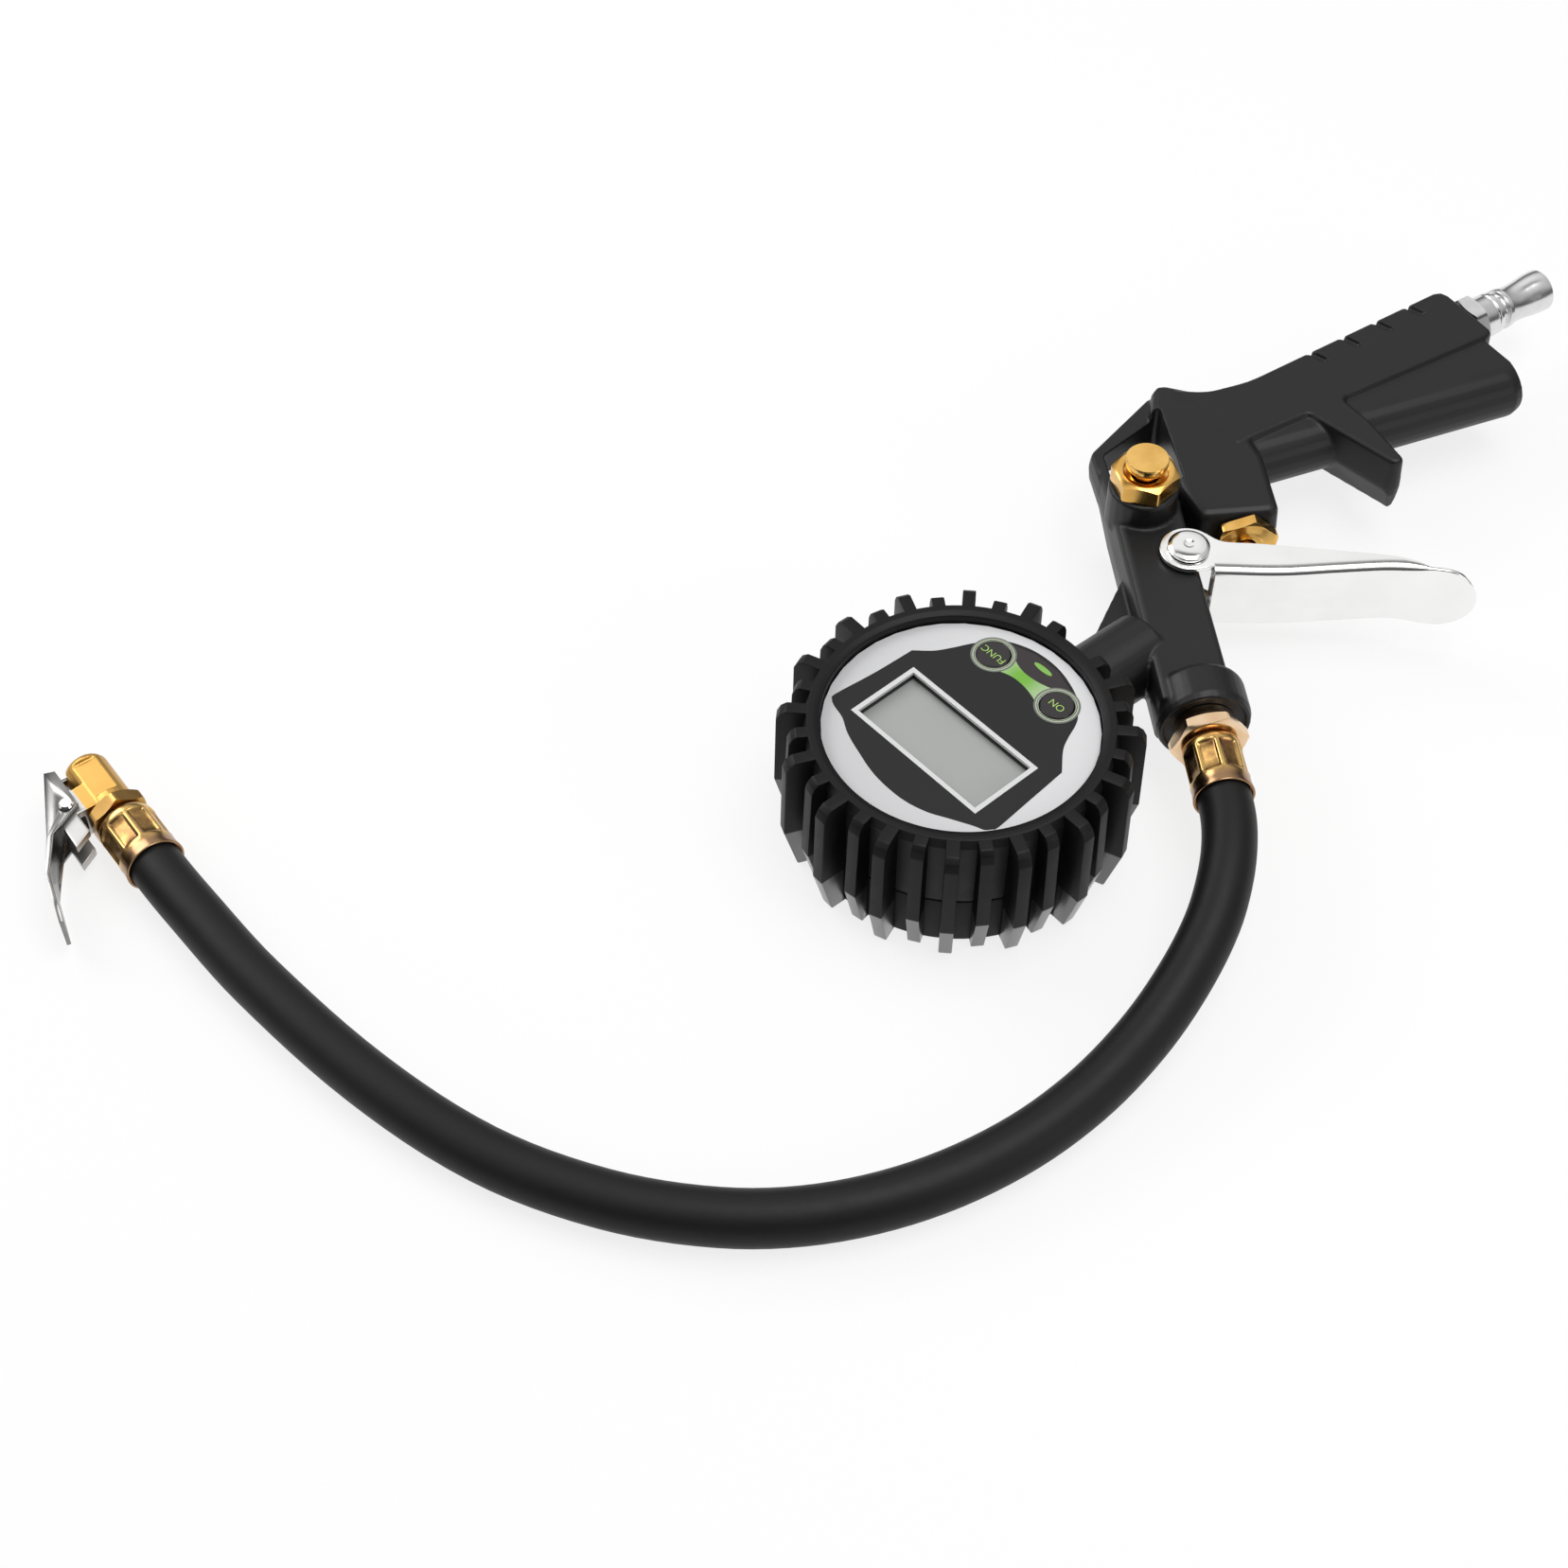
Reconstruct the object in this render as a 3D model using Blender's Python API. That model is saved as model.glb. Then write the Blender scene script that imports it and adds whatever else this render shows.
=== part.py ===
"""Gun-type tyre inflator with a digital gauge, a short hose and a clip-on chuck.

Lies as it would on a bench: the gauge's flat back is on the ground, the origin is on the gauge's axis at its
back, +Z comes out of the dial, and the hose leaves the gun along -Y. Metres throughout.
"""
import bpy
import bmesh
from math import asin, cos, degrees, pi, radians, sin, tan
from mathutils import Matrix, Vector

# ---------------------------------------------------------------- clearances
GAP = 0.0003                  # left between pieces that touch
FIT = 0.0004                  # radial clearance of a piece in its bore

# ---------------------------------------------------------------- gauge
CASE_RADIUS = 0.036           # plastic case inside the boot
BOOT_HEIGHT = 0.040           # rubber boot, back to front rim
BOOT_WALL = 0.0022
BOOT_RADIUS = CASE_RADIUS + GAP + BOOT_WALL      # its barrel, between the fins
BOOT_LIP = 0.0010             # how far its front lip reaches in over the case
BOOT_LIP_RADIUS = CASE_RADIUS - BOOT_LIP         # opening round the dial
BOOT_LIP_DEPTH = 0.0037       # front lip, along the axis
BOOT_BACK_LIP = 0.0019        # back lip, along the axis
FIN_COUNT = 32
FIN_THICKNESS = 0.0034
FIN_PHASE = 78.8              # azimuth of the first tall fin, degrees
TALL_FIN = 0.0078             # how far a tall fin stands off the barrel at its widest
SHORT_FIN = 0.0055
FIN_WAIST_Z = 0.405 * BOOT_HEIGHT                # height of a fin's widest point
CASE_WALL = 0.0018
CASE_TOP_Z = BOOT_HEIGHT - BOOT_LIP_DEPTH - GAP
CASE_SPLIT_Z = CASE_TOP_Z - 0.0060               # where the case's front meets its back
BACK_LIP = 0.0030             # how far the back lip reaches in over the case
BACK_PAD_RADIUS = CASE_RADIUS - BACK_LIP - GAP   # raised part of the case's back, flush with the boot
FACE_RADIUS = BOOT_LIP_RADIUS - GAP              # printed face
FACE_THICKNESS = 0.0007
DISPLAY_LENGTH = 0.0414       # display opening
DISPLAY_WIDTH = 0.0188
DISPLAY_X = -0.0048
DISPLAY_Y = -0.0035
DISPLAY_TURN = -54.4          # long side's direction on the dial, degrees
DISPLAY_GLASS = 0.0009
KEY_RADIUS = 0.0044
KEY_PROUD = 0.0002
KEY_TRAVEL = 0.0004
FUNC_KEY = (0.01172, 0.02273)
ON_KEY = (0.02476, 0.00417)
SWITCH_SIZE = 0.006
SWITCH_HEIGHT = 0.0034
BOARD_RADIUS = CASE_RADIUS - CASE_WALL - 0.0017
BOARD_THICKNESS = 0.0016
BOARD_Z = CASE_TOP_Z - 0.0090
POST_RADIUS = 0.0021
POST_CIRCLE = BOARD_RADIUS - 0.0030
BATTERY_RADIUS = 0.00525      # two AAA cells
BATTERY_LENGTH = 0.0445
BATTERY_COVER_THICKNESS = 0.0016
BAY_WALL = 0.0016
CONTACT_THICKNESS = 0.0005
SCREW_RADIUS = 0.0019
COVER_TAB = 0.0026            # radius of the battery cover's round tab

# ---------------------------------------------------------------- gauge stem, between the case and the gun
STEM_TURN = 33.0              # azimuth of the stem, degrees
STEM_RADIUS = 0.0050
STEM_FLANGE = 0.0016          # its flange inside the case
STEM_THREAD = 0.0130          # its length outside the case
STEM_REACH = CASE_RADIUS + STEM_THREAD           # stem's end, from the gauge's axis
BOSS_RADIUS = 0.0105          # gun's boss round the stem
BOSS_END = 0.065              # crown's end, from the gauge's axis
SENSOR_RADIUS = 0.0055
SENSOR_LENGTH = 0.007

# ---------------------------------------------------------------- gun casting
GUN_Z = 0.020                 # its middle plane, above the gauge's back
OUTLET_X = 0.065              # hose outlet's axis
COLLAR_RADIUS = 0.0124
COLLAR_FRONT_Y = 0.0075
COLLAR_LENGTH = 0.0121
COLLAR_RECESS = 0.0012
COLUMN_WIDTH = 0.020
COLUMN_HALF = 0.0085          # half thickness
COLUMN_RAMP_Y = 0.080         # where the column starts to thin towards the head
COLUMN_TOP_Y = 0.1035
HEAD_HALF = 0.0045
EYE_BAR = 0.0033              # width of the head's bar on the column's side
BLOCK_HALF = 0.0093           # valve block
BLOCK_END_Y = 0.073
BLOCK_RIGHT = 0.010           # from the inflate valve's axis to the block's side
PAD_HALF = 0.0097             # raised pad of the handle
GRIP_HALF = 0.0083
HANDLE_TURN = 27.0            # handle's direction, degrees
HANDLE_OFFSET = 0.0348        # air passage's axis, from the lever's pivot
HANDLE_LENGTH = 0.1286        # pivot's foot on that axis to the handle's end
HOOK_LEAN = 0.0038            # how far the hook's front leans back at its lower face
GRIP_SHORT = 0.0038           # grip ends this much before the pad
NOTCH_COUNT = 4
NOTCH_START = 0.0778          # first notch, along the handle
NOTCH_PITCH = 0.0121
NOTCH_WIDTH = 0.0020
NOTCH_DEPTH = 0.0012
NOTCH_REACH = 0.0062          # how far a notch runs over the pad's face

# ---------------------------------------------------------------- trigger lever
PIVOT_X = 0.0703
PIVOT_Y = 0.0607
LEVER_HALF = 0.0105           # half the width over its flanges
LEVER_SHEET = 0.0014
LEVER_EAR = 0.0077
LEVER_BEND = 0.0022           # outer radius where web and flange meet
LEVER_END_RADIUS = 0.0098
PIN_RADIUS = 0.0025
PIN_HEAD_RADIUS = 0.0056
PIN_HEAD_HEIGHT = 0.0017
CLIP_THICKNESS = 0.0006

# ---------------------------------------------------------------- inflate valve
VALVE_X = 0.089
VALVE_HEX = 0.0162            # across flats
VALVE_HEX_TURN = 8.0          # how it happens to be tightened, degrees
VALVE_HEX_HEIGHT = 0.0037
VALVE_SPIGOT_RADIUS = 0.0059
VALVE_SPIGOT = 0.010
VALVE_STEM_RADIUS = 0.0022
VALVE_CUP_RADIUS = 0.0044
VALVE_CUP_LENGTH = 0.010
VALVE_CUP_WALL = 0.0010
VALVE_CHAMBER_RADIUS = 0.0053
VALVE_CHAMBER = 0.030         # chamber's depth from the block's end
VALVE_SPRING_WIRE = 0.0008
VALVE_SPRING_LENGTH = 0.0098

# ---------------------------------------------------------------- bleed valve
BLEED_X = 0.0615
BLEED_Y = 0.0803
BLEED_BOSS_RADIUS = 0.0095
BLEED_BOSS_TOP = 0.016        # above the gun's middle plane
BLEED_HEX = 0.0163
BLEED_HEX_TURN = 40.0
BLEED_HEX_HEIGHT = 0.0054
BLEED_SPIGOT_RADIUS = 0.0064
BLEED_SPIGOT = 0.0088
BLEED_RECESS = 0.0017
BUTTON_RADIUS = 0.00575
BUTTON_HEIGHT = 0.0027
BUTTON_LIFT = 0.0014          # head's underside above the nut
BUTTON_STEM_RADIUS = 0.0036
BUTTON_FLANGE_RADIUS = 0.0048
BUTTON_FLANGE = 0.0016
BLEED_SPRING_WIRE = 0.0007
BLEED_SPRING_LENGTH = 0.0064

# ---------------------------------------------------------------- inlet plug
PLUG_HEX = 0.0145
PLUG_HEX_LENGTH = 0.0098
PLUG_SPIGOT_RADIUS = 0.0052
PLUG_SPIGOT = 0.012
PLUG_NOSE_RADIUS = 0.0062
PLUG_NECK_RADIUS = 0.0046
PLUG_LENGTH = 0.0330          # handle's end to the tip
PLUG_BORE = 0.0028
WASHER_THICKNESS = 0.0008

# ---------------------------------------------------------------- hose and its ends
HOSE_RADIUS = 0.007
OUTLET_HEX = 0.018
OUTLET_HEX_TURN = 10.0
OUTLET_HEX_HEIGHT = 0.0038
OUTLET_NECK = 0.0026
OUTLET_SPIGOT = 0.009
OUTLET_SPIGOT_RADIUS = 0.0062
NIPPLE_RADIUS = 0.0045
NIPPLE = 0.0020
FERRULE_LENGTH = 0.0168
FERRULE_RADIUS = 0.0079
FERRULE_FLATS = 8
FERRULE_ACROSS = 0.0139
FERRULE_SOCKET = 0.0018
HOSE_STRAIGHT = 0.001         # straight part outside each ferrule
HOSE_FALL = ((0.0640, -0.0270, 0.0198), (0.0608, -0.0385, 0.0188), (0.0551, -0.0510, 0.0164),
             (0.0455, -0.0648, 0.0132), (0.0330, -0.0785, 0.0100), (0.0170, -0.0920, 0.0080),
             (-0.0020, -0.1035, 0.0072), (-0.0245, -0.1120, 0.0071), (-0.0480, -0.1157, 0.0071),
             (-0.0707, -0.1142, 0.0071), (-0.0965, -0.1066, 0.0071), (-0.1234, -0.0919, 0.0071),
             (-0.1500, -0.0684, 0.0072), (-0.1763, -0.0377, 0.0075), (-0.1925, -0.0147, 0.0080))

# ---------------------------------------------------------------- clip-on chuck
CHUCK_X = -0.20206            # hose ferrule's rim
CHUCK_Y = 0.00013
CHUCK_Z = 0.0082              # chuck's axis above the ground
CHUCK_TURN = 120.76           # direction of its mouth, degrees
CHUCK_HEX = 0.0142
CHUCK_HEX_LENGTH = 0.0048
CHUCK_RADIUS = 0.006
CHUCK_LENGTH = 0.0169
CHUCK_BORE = 0.00415
CHUCK_BORE_DEPTH = 0.010
CHUCK_FLAT = 0.005            # half distance over its milled flats
SEAL_THICKNESS = 0.0022
CLIP_PIVOT_S = 0.0256         # clip's pin, along the chuck from the ferrule's rim
CLIP_PIVOT_N = 0.0104         # and beside its axis
CLIP_PIN_RADIUS = 0.0012
CLIP_SHEET = 0.0010
CLIP_SPRING_WIRE = 0.0008
CLIP_SLOT = 0.0026            # half width of the lug's slot round the spring

# ---------------------------------------------------------------- colours: base colour, roughness, metallic
POWDER_COAT = ((0.030, 0.030, 0.031), 0.42, 0.0)
RUBBER = ((0.024, 0.024, 0.024), 0.72, 0.0)
BLACK_PLASTIC = ((0.028, 0.028, 0.029), 0.5, 0.0)
BRASS = ((0.86, 0.52, 0.13), 0.24, 1.0)
BRONZED_BRASS = ((0.50, 0.30, 0.10), 0.3, 1.0)
NICKEL = ((0.80, 0.79, 0.77), 0.16, 1.0)
SPRING_STEEL = ((0.55, 0.55, 0.55), 0.3, 1.0)
FACE_SILVER = ((0.74, 0.74, 0.75), 0.4, 0.0)
GLASS = ((0.52, 0.54, 0.52), 0.1, 0.0)
LIQUID_CRYSTAL = ((0.40, 0.42, 0.40), 0.3, 0.0)
BOARD_GREEN = ((0.03, 0.16, 0.07), 0.5, 0.0)
BATTERY_WRAP = ((0.06, 0.07, 0.09), 0.35, 0.2)

SEGMENTS = 24                 # sides of a small round piece
FINE_SEGMENTS = 36            # sides of a large one
BORE_SEGMENTS = 16            # sides of a hidden bore


# ---------------------------------------------------------------- helpers
def clear_scene():
    for item in list(bpy.data.objects):
        bpy.data.objects.remove(item, do_unlink=True)
    for block in (bpy.data.meshes, bpy.data.curves, bpy.data.materials):
        for item in list(block):
            block.remove(item)


def add_object(name, data):
    item = bpy.data.objects.new(name, data)
    bpy.context.scene.collection.objects.link(item)
    return item


def empty(name, matrix):
    item = add_object(name, None)
    item.empty_display_size = 0.01
    item.matrix_world = matrix
    return item


def frame(origin, direction=(0, 0, 1), turn=0.0):
    """Matrix that puts local Z along a direction at an origin, turned about it by degrees."""
    rotation = Vector((0, 0, 1)).rotation_difference(Vector(direction)).to_matrix().to_4x4()
    return Matrix.Translation(origin) @ rotation @ Matrix.Rotation(radians(turn), 4, 'Z')


def solid(name, mesh):
    """Object from a bmesh, with its faces turned outwards."""
    bmesh.ops.remove_doubles(mesh, verts=mesh.verts, dist=1e-7)
    bmesh.ops.recalc_face_normals(mesh, faces=mesh.faces)
    if mesh.calc_volume(signed=True) < 0:
        bmesh.ops.reverse_faces(mesh, faces=mesh.faces)
    data = bpy.data.meshes.new(name)
    mesh.to_mesh(data)
    mesh.free()
    return add_object(name, data)


def loft(loops, closed=False):
    """Bmesh skin over loops of equal length; the ends are capped unless the loops close on themselves."""
    mesh = bmesh.new()
    rings = [[mesh.verts.new(point) for point in loop] for loop in loops]
    count = len(rings[0])
    pairs = list(zip(rings, rings[1:]))
    if closed:
        pairs.append((rings[-1], rings[0]))
    for low, high in pairs:
        for i in range(count):
            j = (i + 1) % count
            mesh.faces.new((low[i], low[j], high[j], high[i]))
    if not closed:
        mesh.faces.new(rings[0][::-1])
        mesh.faces.new(rings[-1])
    return mesh


def radius_at(angle, radius, flats=0, across=0.0, phase=0.0):
    """Radius of a round section, cut by a number of flats."""
    if not flats:
        return radius
    sector = 2 * pi / flats
    offset = (angle - radians(phase)) % sector - sector / 2
    return min(radius, across / 2 / cos(offset))


def turned(profile, segments=SEGMENTS, closed=False):
    """Bmesh turned about Z from (z, radius[, flats, across, phase]) entries; a radius of 0 makes a pole."""
    mesh = bmesh.new()
    rings = []
    for entry in profile:
        if entry[1] <= 0:
            rings.append([mesh.verts.new((0, 0, entry[0]))])
            continue
        ring = []
        for i in range(segments):
            angle = 2 * pi * i / segments
            radius = radius_at(angle, *entry[1:])
            ring.append(mesh.verts.new((radius * cos(angle), radius * sin(angle), entry[0])))
        rings.append(ring)
    pairs = list(zip(rings, rings[1:]))
    if closed:
        pairs.append((rings[-1], rings[0]))
    for low, high in pairs:
        for i in range(segments):
            j = (i + 1) % segments
            corners = [low[i % len(low)], low[j % len(low)], high[j % len(high)], high[i % len(high)]]
            corners = [corner for k, corner in enumerate(corners) if corner is not corners[k - 1]]
            if len(corners) > 2:
                mesh.faces.new(corners)
    if not closed:
        for ring in (rings[0], rings[-1]):
            if len(ring) > 1:
                mesh.faces.new(ring)
    return mesh


def rounded(corners, steps=2):
    """Outline in which each (x, y, radius) corner becomes an arc, no larger than its sides allow."""
    outline = []
    for i, corner in enumerate(corners):
        here = Vector(corner[:2])
        before = Vector(corners[i - 1][:2]) - here
        after = Vector(corners[(i + 1) % len(corners)][:2]) - here
        radius = corner[2] if len(corner) > 2 else 0
        half = before.angle(after) / 2
        if radius <= 0 or half > radians(89):
            outline.append(here)
            continue
        reach = min(radius / tan(half), 0.48 * before.length, 0.48 * after.length)
        radius = reach * tan(half)
        middle = here + (before.normalized() + after.normalized()).normalized() * (radius / sin(half))
        start = here + before.normalized() * reach - middle
        sweep = start.angle_signed(here + after.normalized() * reach - middle)
        for k in range(steps + 1):
            outline.append(middle + Matrix.Rotation(-sweep * k / steps, 2) @ start)
    return outline


def area(outline):
    return sum(a.x * b.y - b.x * a.y for a, b in zip(outline, outline[1:] + outline[:1])) / 2


def inset(outline, distance):
    """Outline moved inwards along its mitres."""
    side = 1 if area(outline) > 0 else -1
    moved = []
    for i, here in enumerate(outline):
        first = (here - outline[i - 1]).normalized()
        second = (outline[(i + 1) % len(outline)] - here).normalized()
        one = Vector((-first.y, first.x)) * side
        two = Vector((-second.y, second.x)) * side
        moved.append(here + (one + two) * distance / (1 + one.dot(two)))
    return moved


def plate(corners, half, edge, draft=0.0, steps=2):
    """Cast plate about z = 0: full outline in the middle, drafted walls and rounded edges.

    A filleted outer corner keeps a radius that its own inset can still follow.
    """
    points = [Vector(corner[:2]) for corner in corners]
    side = 1 if area(points) > 0 else -1
    eased = []
    for i, corner in enumerate(corners):
        radius = corner[2] if len(corner) > 2 else 0
        turn = (points[i] - points[i - 1]).cross(points[(i + 1) % len(points)] - points[i]) * side
        if radius > 0 and turn > 0:
            radius = max(radius, edge + draft + 0.0003)
        eased.append((corner[0], corner[1], radius))
    outline = rounded(eased)
    levels = [(0.0, 0.0), (half - edge, draft)]
    for k in range(1, steps + 1):
        turn = pi / 2 * k / steps
        levels.append((half - edge + edge * sin(turn), draft + edge * (1 - cos(turn))))
    levels = [(-z, d) for z, d in levels[:0:-1]] + levels
    return loft([[(p.x, p.y, z) for p in inset(outline, d)] for z, d in levels])


def prism(outline, low, high):
    return loft([[(p[0], p[1], z) for p in outline] for z in (low, high)])


def box(low, high):
    corners = ((low[0], low[1]), (high[0], low[1]), (high[0], high[1]), (low[0], high[1]))
    return prism(corners, low[2], high[2])


def combine(target, mesh, operation, matrix=None):
    """Joins or cuts a bmesh into an object with an exact boolean."""
    if matrix is not None:
        mesh.transform(matrix)
    tool = solid("tool", mesh)
    tool.hide_render = True
    tool.display_type = 'WIRE'
    modifier = target.modifiers.new(operation.lower(), 'BOOLEAN')
    modifier.operation = operation
    modifier.solver = 'EXACT'
    modifier.object = tool
    depsgraph = bpy.context.evaluated_depsgraph_get()
    result = bpy.data.meshes.new_from_object(target.evaluated_get(depsgraph))
    target.modifiers.clear()
    old = target.data
    target.data = result
    bpy.data.meshes.remove(old)
    bpy.data.objects.remove(tool, do_unlink=True)
    return target


def join(target, mesh, matrix=None):
    return combine(target, mesh, 'UNION', matrix)


def cut(target, mesh, matrix=None):
    return combine(target, mesh, 'DIFFERENCE', matrix)


def cylinder(radius, low, high, segments=SEGMENTS):
    return turned([(low, radius), (high, radius)], segments)


def finish(item, look, smooth=35.0):
    """Gives an object its own material and its smooth shading."""
    colour, roughness, metallic = look
    material = bpy.data.materials.new(item.name)
    material.use_nodes = True
    shader = material.node_tree.nodes["Principled BSDF"]
    shader.inputs["Base Color"].default_value = (*colour, 1.0)
    shader.inputs["Roughness"].default_value = roughness
    shader.inputs["Metallic"].default_value = metallic
    item.data.materials.clear()
    item.data.materials.append(material)
    if item.type == 'MESH':
        item.data.shade_smooth()
        item.data.set_sharp_from_angle(angle=radians(smooth))
    return item


def place(item, parent, matrix=None):
    """Parents an object and places it by its own location and rotation."""
    item.parent = parent
    item.matrix_parent_inverse = Matrix.Identity(4)
    item.matrix_basis = matrix if matrix is not None else Matrix.Identity(4)
    return item


def tube(name, points, radius, resolution):
    """Curve object of round section with filled caps along a polyline."""
    curve = bpy.data.curves.new(name, 'CURVE')
    curve.dimensions = '3D'
    curve.bevel_depth = radius
    curve.bevel_resolution = resolution
    curve.use_fill_caps = True
    spline = curve.splines.new('POLY')
    spline.points.add(len(points) - 1)
    for point, position in zip(spline.points, points):
        point.co = (*position, 1.0)
    return add_object(name, curve)


def coil_points(radius, pitch, turns, per_turn=8):
    """Points of a helix about Z that starts at z = 0."""
    count = round(turns * per_turn)
    return [(radius * cos(2 * pi * i / per_turn), radius * sin(2 * pi * i / per_turn), pitch * i / per_turn)
            for i in range(count + 1)]


def own_gap(points, thickness, along):
    """Least clear distance of a wire to itself, between places at least a distance along it apart."""
    fine = []
    for a, b in zip(points, points[1:]):
        fine += [a.lerp(b, k / 4) for k in range(4)]
    run = [0.0]
    for a, b in zip(fine, fine[1:]):
        run.append(run[-1] + (b - a).length)
    least = 1.0
    for i, a in enumerate(fine):
        for j in range(i + 1, len(fine)):
            if run[j] - run[i] > along:
                least = min(least, (fine[j] - a).length)
    return least - thickness


def coil(name, radius, wire, length, turns):
    pitch = (length - wire) / turns
    points = [Vector(p) + Vector((0, 0, wire / 2)) for p in coil_points(radius - wire / 2, pitch, turns)]
    print(name + ": least gap to itself", round(own_gap(points, wire, pi * radius) * 1000, 3), "mm")
    return tube(name, points, wire / 2, 1)


# ---------------------------------------------------------------- derived places, in the gun's middle plane
COLUMN_LEFT = OUTLET_X - COLLAR_RADIUS + GAP
COLUMN_RIGHT = COLUMN_LEFT + COLUMN_WIDTH
STEM_WAY = Vector((cos(radians(STEM_TURN)), sin(radians(STEM_TURN)), 0))
HANDLE_WAY = Vector((cos(radians(HANDLE_TURN)), sin(radians(HANDLE_TURN)), 0))
HANDLE_SIDE = Vector((-HANDLE_WAY.y, HANDLE_WAY.x, 0))
PIVOT = Vector((PIVOT_X, PIVOT_Y, 0))
HANDLE_START = PIVOT + HANDLE_SIDE * HANDLE_OFFSET
HANDLE_FRAME = Matrix.Translation(HANDLE_START) @ Matrix.Rotation(radians(HANDLE_TURN), 4, 'Z')
VALVE_FRAME = frame((VALVE_X, BLOCK_END_Y, 0), (0, -1, 0))
BLEED_FRAME = frame((BLEED_X, BLEED_Y, BLEED_BOSS_TOP))
OUTLET_FRAME = frame((OUTLET_X, COLLAR_FRONT_Y, 0), (0, -1, 0))
INLET_FRAME = frame(HANDLE_START + HANDLE_WAY * HANDLE_LENGTH, HANDLE_WAY)
STEM_FRAME = frame((0, 0, 0), STEM_WAY)
LEVER_STOP = LEVER_HALF - LEVER_SHEET


def gun_body():
    """One casting: raised pad with notches and finger hook, grip, valve block, head with its eye, column."""
    end = HANDLE_LENGTH
    pad = [
        (0.0345, 0.0185), (0.0363, -0.0105), (0.0612, -0.0118, 0.001),
        (0.0677, -0.0397, 0.0025), (0.0722, -0.0410, 0.0036), (0.0745, -0.0224, 0.006),
        (0.0740, -0.0122, 0.001), (end, -0.0148, 0.0024), (end, 0.0090, 0.0036),
        (0.0560, 0.0090, 0.030), (0.0440, 0.0118, 0.012)]
    body = solid("gun_body", plate(pad, PAD_HALF, 0.0009, 0.0006))
    # below the parting line the hook's front and its tip lean back
    parting = ((0.050, -0.0130), (0.050, -0.055), (0.079, -0.055), (0.079, -0.0434), (0.0674, -0.0401),
               (0.0612, -0.0130))
    back = ((0, 0), (0, 0), (0, 0), (0, 0.0022), (HOOK_LEAN, 0.0022), (HOOK_LEAN, 0))
    lean = [(x + dx, y + dy, -PAD_HALF - 0.001) for (x, y), (dx, dy) in zip(parting, back)]
    cut(body, loft([lean, [(x, y, 0.0) for x, y in parting]]))
    body.data.transform(HANDLE_FRAME)

    # grip under the pad: flat flanks and a fully rounded lower side that falls away along the handle
    sections = []
    for along, lift in ((0.030, 0.0), (0.0408, 0.0), (0.0600, 0.0), (end - GRIP_SHORT - 0.0040, 0.0),
                        (end - GRIP_SHORT - 0.0012, 0.0012), (end - GRIP_SHORT, 0.0038)):
        low = -0.0172 - 0.208 * max(0.0, along - 0.0408) + lift
        ring = [(along, 0.005, GRIP_HALF)]
        for k in range(13):
            turn = pi * k / 12
            ring.append((along, low + GRIP_HALF - GRIP_HALF * sin(turn), GRIP_HALF * cos(turn)))
        ring += [(along, 0.005, -GRIP_HALF)]
        sections.append(ring)
    join(body, loft(sections), HANDLE_FRAME)

    # valve block and the band above it
    right = VALVE_X + BLOCK_RIGHT
    block = [
        (0.0735, 0.1283, 0.0035), (0.0708, 0.1170, 0.004), (0.0728, 0.0850, 0.010),
        (0.0762, BLOCK_END_Y, 0.0025), (right, BLOCK_END_Y, 0.0025), (right, 0.0950, 0.004),
        (0.0965, 0.1040), (0.0850, 0.1235)]
    join(body, plate(block, BLOCK_HALF, 0.0022, 0.0005))

    # head: thin frame round the hanging eye
    head = [
        (0.0700, 0.0840), (0.0800, 0.0840), (0.0800, 0.1235), (0.0735, 0.1272, 0.003),
        (COLUMN_LEFT - 0.0008, 0.1055, 0.0035), (COLUMN_LEFT - 0.0002, 0.0940, 0.002),
        (COLUMN_LEFT + 0.0010, 0.0840)]
    join(body, plate(head, HEAD_HALF, 0.0008, 0.0004))

    # column, thinned by a ramp into the head
    sections = []
    for y, half in ((COLLAR_FRONT_Y + 0.004, COLUMN_HALF), (COLUMN_RAMP_Y, COLUMN_HALF),
                    (COLUMN_TOP_Y, HEAD_HALF - 0.0001)):
        corners = rounded([
            (COLUMN_LEFT + 0.0007, -half, 0.0022), (COLUMN_RIGHT - 0.0006, -half, 0.0015),
            (COLUMN_RIGHT, 0.0),
            (COLUMN_RIGHT - 0.0006, half, 0.0015), (COLUMN_LEFT + 0.0007, half, 0.0022), (COLUMN_LEFT, 0.0)])
        sections.append([(p.x, y, p.y) for p in corners])
    join(body, loft(sections))

    # hose collar, gauge boss, its gusset and the bleed valve's boss
    rim = COLLAR_RADIUS
    join(body, turned([
        (-COLLAR_LENGTH, rim - 0.0020), (-COLLAR_LENGTH + 0.0006, rim - 0.0006),
        (-COLLAR_LENGTH + 0.0020, rim),
        (-0.0016, rim), (-0.0013, rim - 0.0004), (-0.0004, rim - 0.0004), (0, rim - 0.0008)], FINE_SEGMENTS),
        OUTLET_FRAME)
    join(body, cylinder(BOSS_RADIUS, CASE_RADIUS + 0.0009, BOSS_END, FINE_SEGMENTS), STEM_FRAME)
    join(body, prism([(0.0405, 0.0375), (0.0560, 0.0480), (0.0560, 0.0590), (0.0527, 0.0590)],
                     -0.0016, 0.0016))
    join(body, turned([(-BLEED_BOSS_TOP + 0.003, BLEED_BOSS_RADIUS), (-0.0005, BLEED_BOSS_RADIUS),
                       (0, BLEED_BOSS_RADIUS - 0.0005)]), BLEED_FRAME)

    # hanging eye through the head
    eye = rounded([
        (COLUMN_LEFT + EYE_BAR, 0.0895, 0.0015), (0.0749, 0.0885, 0.0012), (0.0738, 0.1178, 0.0010),
        (COLUMN_LEFT + EYE_BAR, 0.1046, 0.0016)])
    cut(body, prism(eye, -0.015, 0.015))
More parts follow.
